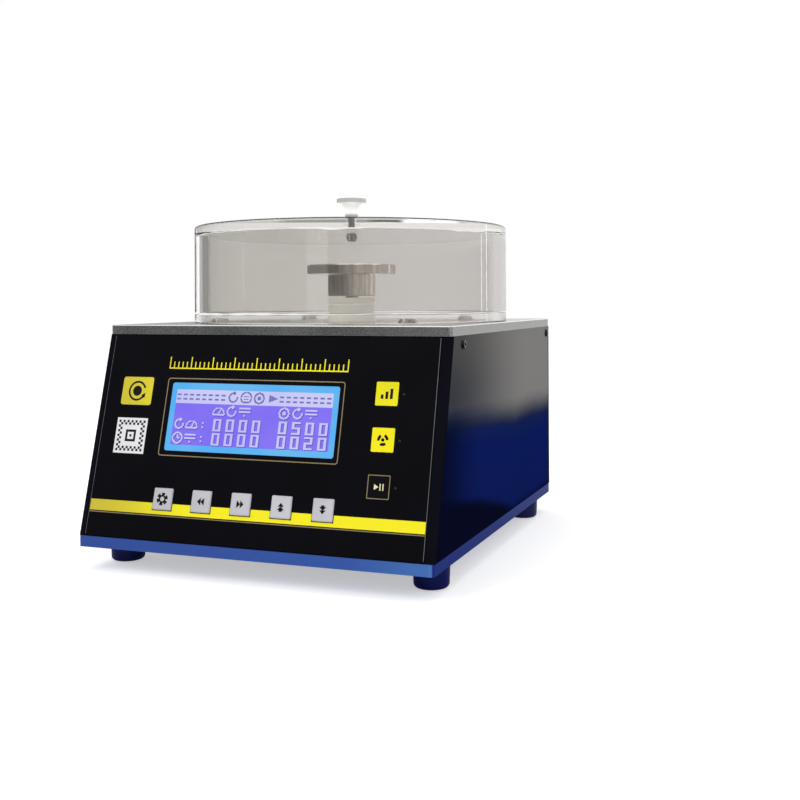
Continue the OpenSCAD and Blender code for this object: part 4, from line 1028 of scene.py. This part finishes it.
class Way(Enum):
    """Where an arrow points, as the corners of a triangle in a box from -1 to 1."""

    LEFT = ((-1, 0), (1, -1), (1, 1))
    RIGHT = ((1, 0), (-1, 1), (-1, -1))
    UP = ((0, 1), (-1, -1), (1, -1))
    DOWN = ((0, -1), (1, 1), (-1, 1))


@dataclass
class Keypad:
    """The legends on the keys, each riding with its key."""

    panel: Panel
    inks: Inks
    column_u: float = 71.9
    column_v: tuple[float, ...] = (36.1, 60.2, 84.3)
    raised: float = 1.6
    flat: float = 0.9
    ink_t: float = 0.05

    def legend(self, key: str, ink: Ink, shapes: Sequence, level: float, kind: str = "legend") -> None:
        """Prints one legend on a key's cap.

        Args:
            key: the key.
            ink: the ink; black stands on pale caps, the others on the black one.
            shapes: outlines, or pairs of them.
            level: the cap's height over the panel.
            kind: the end of the piece's name.
        """
        slot = "grey_key" if ink is Ink.BLACK else "black_key"
        low, high = level + 0.005, level + self.ink_t
        self.panel.lay(f"{key}_{kind}", shapes, low, high, f"{key}_body", self.inks[ink], slot)

    @staticmethod
    def arrow(u: float, v: float, wide: float, tall: float, way: Way) -> Grid:
        """A triangle that fills a box of two sides about (u, v)."""
        return np.array([u, v]) + np.array(way.value, float) * (wide / 2, tall / 2)

    def build(self) -> None:
        """Arrows on the row, pictograms on the column."""
        u, v = KEY_ROW_U, KEY_ROW_V
        ring = [arc_band(u[0], v, 2.75, 1.4, a, a + 40.0) for a in range(0, 360, 60)]
        self.legend("key_set", Ink.BLACK, ring + [arc_band(u[0], v, 1.75, 0.9, 0.0, 359.0)], self.raised)
        for key, place, way in (("key_left", u[1], Way.LEFT), ("key_right", u[2], Way.RIGHT)):
            pair = [self.arrow(place + step, v, 2.1, 4.1, way) for step in (-1.05, 1.05)]
            self.legend(key, Ink.BLACK, pair, self.raised)
        for key, place, way, sign in (("key_up", u[3], Way.UP, 1), ("key_down", u[4], Way.DOWN, -1)):
            self.legend(key, Ink.BLACK, [
                self.arrow(place, v + sign * 1.2, 3.5, 2.1, way),
                self.arrow(place, v - sign * 0.6, 4.1, 1.9, way),
                box_outline(place, v - sign * 1.95, 1.9, 0.9),
            ], self.raised)
        self.column()

    def column(self) -> None:
        """Mode has three stepped bars, pump a wheel, start a triangle and two bars in a frame."""
        u = self.column_u
        low, middle, high = self.column_v
        bars = [box_outline(u - 2.6 + 2.6 * n, high - 1.6 + 0.8 * n, 1.5, 2.2 + 1.6 * n) for n in range(3)]
        self.legend("key_mode", Ink.BLACK, bars, self.flat)
        blades = [arc_band(u, middle, 2.4, 1.5, a, a + 70.0) for a in (0.0, 120.0, 240.0)]
        self.legend("key_pump", Ink.BLACK, blades + [circle_outline(u, middle, 0.9)], self.flat)
        frame_pair = (box_outline(u, low, 12.4, 12.3, 0.5), box_outline(u, low, 11.5, 11.4, 0.3))
        self.legend("key_start", Ink.BEIGE, [frame_pair], self.flat, "frame")
        self.legend("key_start", Ink.PALE, [
            self.arrow(u - 1.175, low, 2.55, 2.9445, Way.RIGHT), box_outline(u + 0.9, low, 0.6, 3.5),
            box_outline(u + 2.5, low, 0.6, 3.5),
        ], self.flat)


# --- display


def near(value: Grid, middle: float, reach: float) -> Grid:
    """Whether a value is closer to a middle than a reach."""
    return np.abs(value - middle) < reach


class Icon(Enum):
    """The display's small pictures.

    Each is a rule on x to the right and y upwards, both from -1 to 1, and on the distance from the
    middle, and is true where dots are on.
    """

    # A ring with a gap at the upper right and an arrowhead beside it.
    TURN = member(lambda x, y, far: (near(far, 0.62, 0.13) & ~((x > 0.1) & (y > 0.1))) | (
        near(y, 0.62, 0.3 - np.abs(x - 0.15)) & (x > -0.1)))
    # A ring with two hands.
    CLOCK = member(lambda x, y, far: near(far, 0.72, 0.12) | (near(x, 0.0, 0.09) & (y > 0) & (y < 0.5)) | (
        near(y, 0.0, 0.09) & (x > 0) & (x < 0.42)))
    # A half ring over a base line, with a needle.
    DIAL = member(lambda x, y, far: (near(np.hypot(x, y + 0.4), 0.85, 0.11) & (y > -0.45)) | (
        near(y, -0.5, 0.09) & near(x, 0.0, 0.9)) | (near(x, (y + 0.4) * 0.5, 0.12) & (y > -0.45) & (y < 0.25)))
    # A ring round a dot.
    AIM = member(lambda x, y, far: near(far, 0.7, 0.12) | (far < 0.27))
    # Three lying bars, the lower the shorter.
    BARS = member(lambda x, y, far: (near(np.abs(y), 0.55, 0.12) | near(y, 0.0, 0.12)) & (
        np.abs(x) < 0.5 + 0.35 * np.sign(y + 0.2)))
    # The outline of a wafer with its flat, and two lines in it.
    DISC = member(lambda x, y, far: (near(far, 0.8, 0.1) & (y > -0.62)) | (
        near(y, -0.62, 0.09) & (far < 0.85)) | (near(np.abs(y), 0.22, 0.08) & near(x, 0.0, 0.4)))
    # A triangle that points right.
    PLAY = member(lambda x, y, far: (x > -0.5) & (np.abs(y) < 0.42 * (0.85 - x)))


class DotField:
    """The display's dots as rows and columns of true and false."""

    SEGMENTS = {"0": "abcdef", "2": "abged", "5": "afgcd"}
    BARS = {
        "a": (1, 3, 0, 10), "g": (7, 9, 0, 10), "d": (13, 15, 0, 10),
        "f": (1, 9, 0, 3), "b": (1, 9, 7, 10), "e": (7, 15, 0, 3), "c": (7, 15, 7, 10),
    }

    def __init__(self, columns: int, rows: int) -> None:
        """Clears the field."""
        self.dots = np.zeros((rows, columns), bool)

    def stamp(self, row: int, column: int, glyph: Grid) -> None:
        """Copies a glyph's dots into the field."""
        high, wide = glyph.shape
        self.dots[row:row + high, column:column + wide] |= glyph

    def digit(self, row: int, column: int, figure: str) -> None:
        """Stamps a figure made of seven bars.

        Args:
            row, column: its upper left corner.
            figure: which one.
        """
        cell = np.zeros((16, 10), bool)
        for name in self.SEGMENTS[figure]:
            top, bottom, left, right = self.BARS[name]
            cell[top:bottom, left:right] = True
        self.stamp(row, column, cell)

    def icons(self, row: int, column: int, *icons: Icon) -> None:
        """Stamps icons side by side.

        Args:
            row, column: the upper left corner of the first.
            icons: which, from left to right.
        """
        line = (np.arange(16) + 0.5) / 8 - 1
        x, y = np.meshgrid(line, -line)
        for n, icon in enumerate(icons):
            self.stamp(row, column + 16 * n, icon.value(x, y, np.hypot(x, y)))


@dataclass
class Display:
    """The lit pane's ground, its light top line and its dots."""

    panel: Panel
    middle: Pair = (-6.6, 68.2)
    area: Pair = (96.2, 31.0)
    face: float = 0.5
    columns: int = 192
    rows: int = 64

    def build(self) -> None:
        """Lays the ground and the top line, then the light and the dark dots."""
        u, v = self.middle
        w, h = self.area
        line_h = h / 4
        ground, light, shade, dark = (
            Lit(f"display_{name}", one, two, 0.95).make() for name, one, two in (
                ("ground", 0x8270F8, 0x8A7AFA), ("light", 0xC8C8FA, 0xD0D2FC),
                ("shade", 0x6454C4, 0x5C4EBA), ("dark", 0x7870BE, 0x6C64B4),
            )
        )
        for name, outline, level, finish in (
            ("display_ground", box_outline(u, v, w, h), 0.005, ground),
            ("display_top_line", box_outline(u, v + h / 2 - line_h / 2, w, line_h), 0.02, light),
        ):
            low = self.face + level
            self.panel.lay(name, [outline], low, low + 0.015, "case", finish, "display_pane")
        marks = self.readings()
        behind = np.zeros_like(marks)
        behind[1:, 1:] = marks[:-1, :-1]
        self.lay("display_dots", marks, light, 0.035)
        self.lay("display_dot_shades", behind & ~marks, shade, 0.035)
        self.lay("display_heading", self.heading(), dark, 0.05)

    def heading(self) -> Grid:
        """Dark marks on the light line: double dashes and four icons.

        Returns:
            The dots.
        """
        made = DotField(self.columns, self.rows)
        dash = np.zeros((16, 8), bool)
        dash[[5, 6, 10, 11], 1:6] = True
        for column in (*range(0, 64, 8), *range(128, 192, 8)):
            made.stamp(0, column, dash)
        made.icons(0, 64, Icon.TURN, Icon.DISC, Icon.AIM, Icon.PLAY)
        return made.dots

    def readings(self) -> Grid:
        """Light marks on the ground: two headings and two lines of figures.

        Returns:
            The dots.
        """
        made = DotField(self.columns, self.rows)
        made.icons(16, 48, Icon.DIAL, Icon.TURN, Icon.BARS)
        made.icons(16, 128, Icon.AIM, Icon.TURN, Icon.BARS)
        made.icons(32, 0, Icon.TURN, Icon.DIAL)
        made.icons(48, 0, Icon.CLOCK, Icon.BARS)
        colon = np.zeros((16, 8), bool)
        colon[5:7, 3:5] = colon[10:12, 3:5] = True
        for row, groups in ((32, ("0000", "0500")), (48, ("0000", "0020"))):
            made.stamp(row, 34, colon)
            for start, figures in zip((48, 128), groups):
                for n, figure in enumerate(figures):
                    made.digit(row, start + 16 * n + 3, figure)
        return made.dots

    def lay(self, name: str, dots: Grid, finish: Paint, top: float) -> None:
        """Makes a block for each dot that is on.

        Args:
            name: the piece's name.
            dots: the rows and columns of dots.
            finish: the blocks' material.
            top: how far they stand over the pane.
        """
        row, column = np.nonzero(dots)
        w, h = self.area
        wide, high = w / self.columns, h / self.rows
        u = self.middle[0] - w / 2 + (column + 0.5) * wide
        v = self.middle[1] + h / 2 - (row + 0.5) * high
        low = self.face + top - 0.012
        points, quads = self.panel.dots(u, v, wide * 0.94, high * 0.94, low, low + 0.03)
        add_piece(name, points, quads, "case", finish, "display_pane")


# --- lid


@dataclass
class Lid:
    """The clear lid as one bonded body, its glue line and its seal."""

    axis: Pair = (0.0, AXIS_Y)
    deck: float = 135.6
    outer: float = 100.0
    wall: float = 8.0
    seal: float = 6.0
    wall_h: float = 48.3
    top: float = 6.0
    rim: float = 1.6
    hole: float = 2.1
    gap: float = 0.06
    edge: float = 0.35

    def build(self) -> None:
        """Makes the body, the seal and the glue line."""
        # Each clear finish's second colour is its tint painted lighter at one side, a painted light.
        acrylic = Clear("clear_acrylic", (0.722, 0.704, 0.676), (0.745, 0.724, 0.706)).make()
        silicone = Clear("clear_silicone", (0.8, 0.79, 0.775), (0.86, 0.845, 0.83), rough=0.08, ior=1.41).make()
        foot = self.deck + self.seal + self.gap
        under = self.deck + self.seal + self.wall_h
        face = under + self.top
        inner = self.outer - self.wall
        made = self.turned("clear_lid", acrylic, "clear_acrylic", [
            (self.hole, under, 0.0), (inner, under, 0.0), (inner, foot, self.edge),
            (self.outer, foot, self.edge), (self.outer, face, self.rim), (self.hole, face, 0.0),
        ])
        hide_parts("lid_wall", "lid_top")
        low, high = self.deck + self.gap, self.deck + self.seal
        made = self.turned("clear_seal", silicone, "clear_seal", [
            (inner, low, 0.8), (self.outer, low, 0.8), (self.outer, high, 0.8), (inner, high, 0.8),
        ])
        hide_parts("lid_seal")
        # The glue beads glow at their own colour, painted light standing in for glints.
        white = Lit("glue_painted_glow", 0xFCFCF8, 0xF6F5EE, 0.95).make()
        self.glue("top_glue", under, 1.0, (-88.0, -61.0), white)
        self.glue("foot_glue", foot - 0.1, 0.3, (-158.0, -80.0), white)

    def turned(self, name: str, finish: Paint, slot: str, corners: Sequence) -> Thing:
        """Turns a profile about the lid's axis.

        Args:
            name, finish, slot: as for any piece.
            corners: radius, height and rounding of each corner.

        Returns:
            The piece.
        """
        points, quads = revolve(supported(rounded(corners, 10)), self.axis, 256)
        made = add_piece(name, points, quads, "lid", finish, slot)
        crease(made, 30.0)
        return made

    def glue(self, name: str, height: float, swing: float, wet: Pair, white: Paint) -> None:
        """Lays a wavy bead: height + swing times a sum of sines of the angle, thick over one stretch.

        Args:
            name: the piece's name.
            height: the middle of the bead.
            swing: the size of the wave, 1 at the upper joint.
            wet: the angles in degrees between which the bead is thick.
            white: its material.
        """
        turn = np.linspace(-math.pi, math.pi, 720, endpoint=False)[:, None]
        side = circle(8)[None, :]
        wave = 0.32 * np.sin(7 * turn + 1.1) + 0.2 * np.sin(17 * turn + 0.4) + 0.12 * np.sin(41 * turn)
        degrees = np.degrees(turn)
        inside = np.clip((degrees - wet[0]) / 6.0, 0, 1) * np.clip((wet[1] - degrees) / 6.0, 0, 1)
        thick = 0.08 + (0.08 + 0.3 * inside) * (0.6 + 0.4 * np.sin(23 * turn) * np.sin(9 * turn + 0.4))
        radius = self.outer - 0.1 + thick * np.cos(side)
        grid = np.stack([
            self.axis[0] + radius * np.cos(turn), self.axis[1] + radius * np.sin(turn),
            height - 0.1 + swing * wave + thick * np.sin(side) * 1.6,
        ], axis=-1)
        add_piece(name, grid.reshape(-1, 3), closed_quads(720, 8), "lid", white, "clear_acrylic", smooth=True)


# --- carried-over nodes


FINISHES: tuple[tuple[Finish, str], ...] = (
    # The blue is partly the plate's own colour and partly painted blue light; it is painted lighter to the
    # right, and the right end face is painted darker as painted shade.
    (Fade("blue_anodised", (
        (-0.12, 0x3955A1), (0.05, 0x3D5DAE), (0.1, 0x4874BB), (0.1035, 0x4E7CC4), (0.1042, 0x1E3484),
    ), along=0, rough=0.45, metallic=0.1, spec=0.08, drift=0.0), "base_plate"),
    # The deck's right cut edge is darkened as painted shade, and its top front and right edges carry a painted
    # highlight.
    (Metal("satin_deck", 0xCECECC, 0.28, Grain.SPECKLED, 0.000022, metallic=0.97, contrast=0.5,
           cut_x=0.1049, bevel=(0.1045, -0.1016, 0.13515)), "deck_plate"),
    # Painted reflection: the stops paint the side sheets grey above and blue below with a slanting border;
    # front adds painted shade ahead and below, pale adds painted light behind and above.
    (Fade("side_sheet_painted_reflection", (
        (0.0287, 0x0B0E26), (0.0412, 0x0A0E24), (0.0474, 0x101E5E), (0.0723, 0x0E1E60), (0.0786, 0x14225A),
        (0.0848, 0x222B46), (0.0885, 0x2E3349), (0.0935, 0x3D3F4A), (0.1, 0x3E4047), (0.128, 0x4F4F4E),
    ), rough=0.55, spec=0.0, drift=0.004, front=(-0.13, -0.045, 0.08, 0.094), tilt=(0.25, -2.4, -0.1),
        pale=0x888684), "left_side_panel right_side_panel"),
    (Plastic("panel_paint", 0x12121A, 0.6, 1100.0, 0.00002, 0.0), "front_panel rear_panel"),
    # The navy blue is partly the rubber's own colour and partly painted blue light.
    (Plastic("foot_rubber", 0x040E58, 0.2, 700.0, 0.00001, 0.35, 0.2), "rubber_feet"),
    (Metal("zinc", 0xC4C4C8, 0.3), "foot_screws plate_screws board_screws knob_screw"),
    (Metal("black_oxide", 0x1E1E20, 0.26, metallic=0.6), "panel_screws motor_screws"),
    (Metal("polished_steel", 0xC4C3C0, 0.12), "deck_screws"),
    (Plastic("overlay_film", 0x0D0D12, 0.3, 2600.0, 0.000006, 0.06), "panel_overlay"),
    (Lit("display_glow", 0x56B4FA, 0x6CBEF8, 0.94), "display_window"),
    (Plastic("display_bezel", 0x1E1E22, 0.5), "display_module key_switches"),
    (Plastic("solder_mask", 0x145C30, 0.45), "display_board control_board"),
    (Plastic("grey_cap", 0xCDCCD2, 0.34, 1800.0, 0.000012, 0.4),
     "key_set key_left key_right key_up key_down"),
    (Plastic("yellow_cap", 0xFCF014, 0.36, 2000.0, 0.00001, 0.2), "key_mode key_pump"),
    (Plastic("black_cap", 0x0E0E12, 0.3, 2000.0, 0.00001, 0.1), "key_start"),
    (Plastic("lamp_lens", 0x343436, 0.12, spec=0.6), "status_leds"),
    (Metal("milled_alloy", 0xBABCBE, 0.35, Grain.BRUSHED), "corner_posts motor_plate power_supply"),
    (Plastic("motor_coat", 0x18181A, 0.38), "motor_housing motor_end_cap"),
    (Metal("copper_and_steel", 0xB06E42, 0.4), "motor_stator"),
    (Metal("ground_steel", 0xBEBEC2, 0.2, Grain.TURNED, 0.00001),
     "motor_rotor spindle bearing_outer_rings bearing_inner_rings bearing_balls drive_pin"),
    (Metal("turned_alloy", 0xF0EAE1, 0.15, Grain.STREAKED, 0.000004, contrast=0.4), "chuck"),
    # The collar's glow is painted light that lifts its shade.
    (Plastic("collar_white", 0xFAF7F0, 0.3, 1500.0, 0.000004, 0.5, 0.3, 0.22), "spindle_collar"),
    (Plastic("seal_rubber", 0x141414, 0.6), "spindle_o_ring chuck_o_ring union_seal"),
    (Metal("union_brass", 0xCEAC60, 0.3), "vacuum_union board_standoffs"),
    (Plastic("valve_moulding", 0x26282E, 0.45), "vacuum_valve"),
    (Plastic("hose_blue", 0x346EC8, 0.3), "vacuum_hoses"),
    (Metal("nickel", 0xCECED0, 0.18), "vacuum_port"),
    (Plastic("socket_moulding", 0x161618, 0.42, 1500.0, 0.00002), "power_inlet fuse_drawer pump_outlet"),
    (Plastic("rocker_moulding", 0x1C1C1E, 0.3, 1500.0, 0.00001), "power_rocker"),
    (Plastic("lead_sleeve", 0x781A18, 0.5), "wiring_harness"),
    # Painted reflections: the stops up the knob's height paint dark and white bands, and the glow adds painted
    # light.
    (Fade("polished_knob", (
        (0.2037, 0x9E9E9C), (0.2062, 0xFAFAF8), (0.212, 0xFFFFFD), (0.2126, 0xACACAA), (0.215, 0xB2B2B0),
        (0.2158, 0xE2E2E0),
    ), rough=0.14, metallic=0.1, spec=0.5, drift=0.0004, glow=0.42), "lid_knob"),
)


@dataclass
class Dressing:
    """The finishes of the solids that are shown as they are."""

    nodes: dict[str, Thing]
    body_of: dict[str, str]
    slot_of: dict[str, str]
    curved: tuple[str, ...] = (
        "chuck", "spindle_collar", "lid_knob", "knob_screw", "rubber_feet", "deck_screws", "panel_screws",
        "chuck_o_ring", "vacuum_port", "foot_screws", "plate_screws",
    )

    def dress(self) -> None:
        """Gives every node its finish, and shows the curved ones as smoothed copies."""
        chosen = {}
        for finish, nodes in FINISHES:
            chosen.update(dict.fromkeys(nodes.split(), finish.make()))
        for name, piece in list(self.nodes.items()):
            if name not in chosen:
                continue
            piece.data.materials.clear()
            piece.data.materials.append(chosen[name])
            if name in self.curved:
                self.smooth_copy(name, piece, chosen[name])
            LOG.info("%s: %s", name, chosen[name].name)

    def smooth_copy(self, name: str, piece: Thing, finish: Paint) -> None:
        """Shows a node as a copy whose loose triangles are joined and whose rounds shade as round.

        Args:
            name, piece: the node and its object.
            finish: the copy's material.
        """
        mesh = piece.data
        spots = np.empty(len(mesh.vertices) * 3)
        mesh.vertices.foreach_get("co", spots)
        loops = np.empty(len(mesh.loops), int)
        mesh.loops.foreach_get("vertex_index", loops)
        joined, number = np.unique(np.round(spots.reshape(-1, 3), 7), axis=0, return_inverse=True)
        triangles = number.reshape(-1)[loops].reshape(-1, 3)
        whole = (triangles != np.roll(triangles, 1, axis=1)).all(axis=1)
        made = add_piece(
            f"smooth_{name}", joined / MM, triangles[whole], self.body_of[name], finish, self.slot_of[name]
        )
        crease(made, 31.0)
        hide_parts(name)


def main() -> None:
    """Builds the studio and the pieces in order."""
    logging.basicConfig(level=logging.INFO, format="%(name)s %(message)s")
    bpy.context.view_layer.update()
    Studio().build()
    record = frame["record"]
    bodies = {node: body for body, nodes in record["behaviour"]["bodies"].items() for node in nodes}
    slots = {part["node"]: part["material_slot"] for part in record["subparts"]}
    Dressing(frame["nodes"], bodies, slots).dress()
    panel = Panel()
    inks = Inks()
    PrintedPanel(panel, inks).build()
    Keypad(panel, inks).build()
    Display(panel).build()
    Lid().build()


if __name__ == "__main__":
    main()
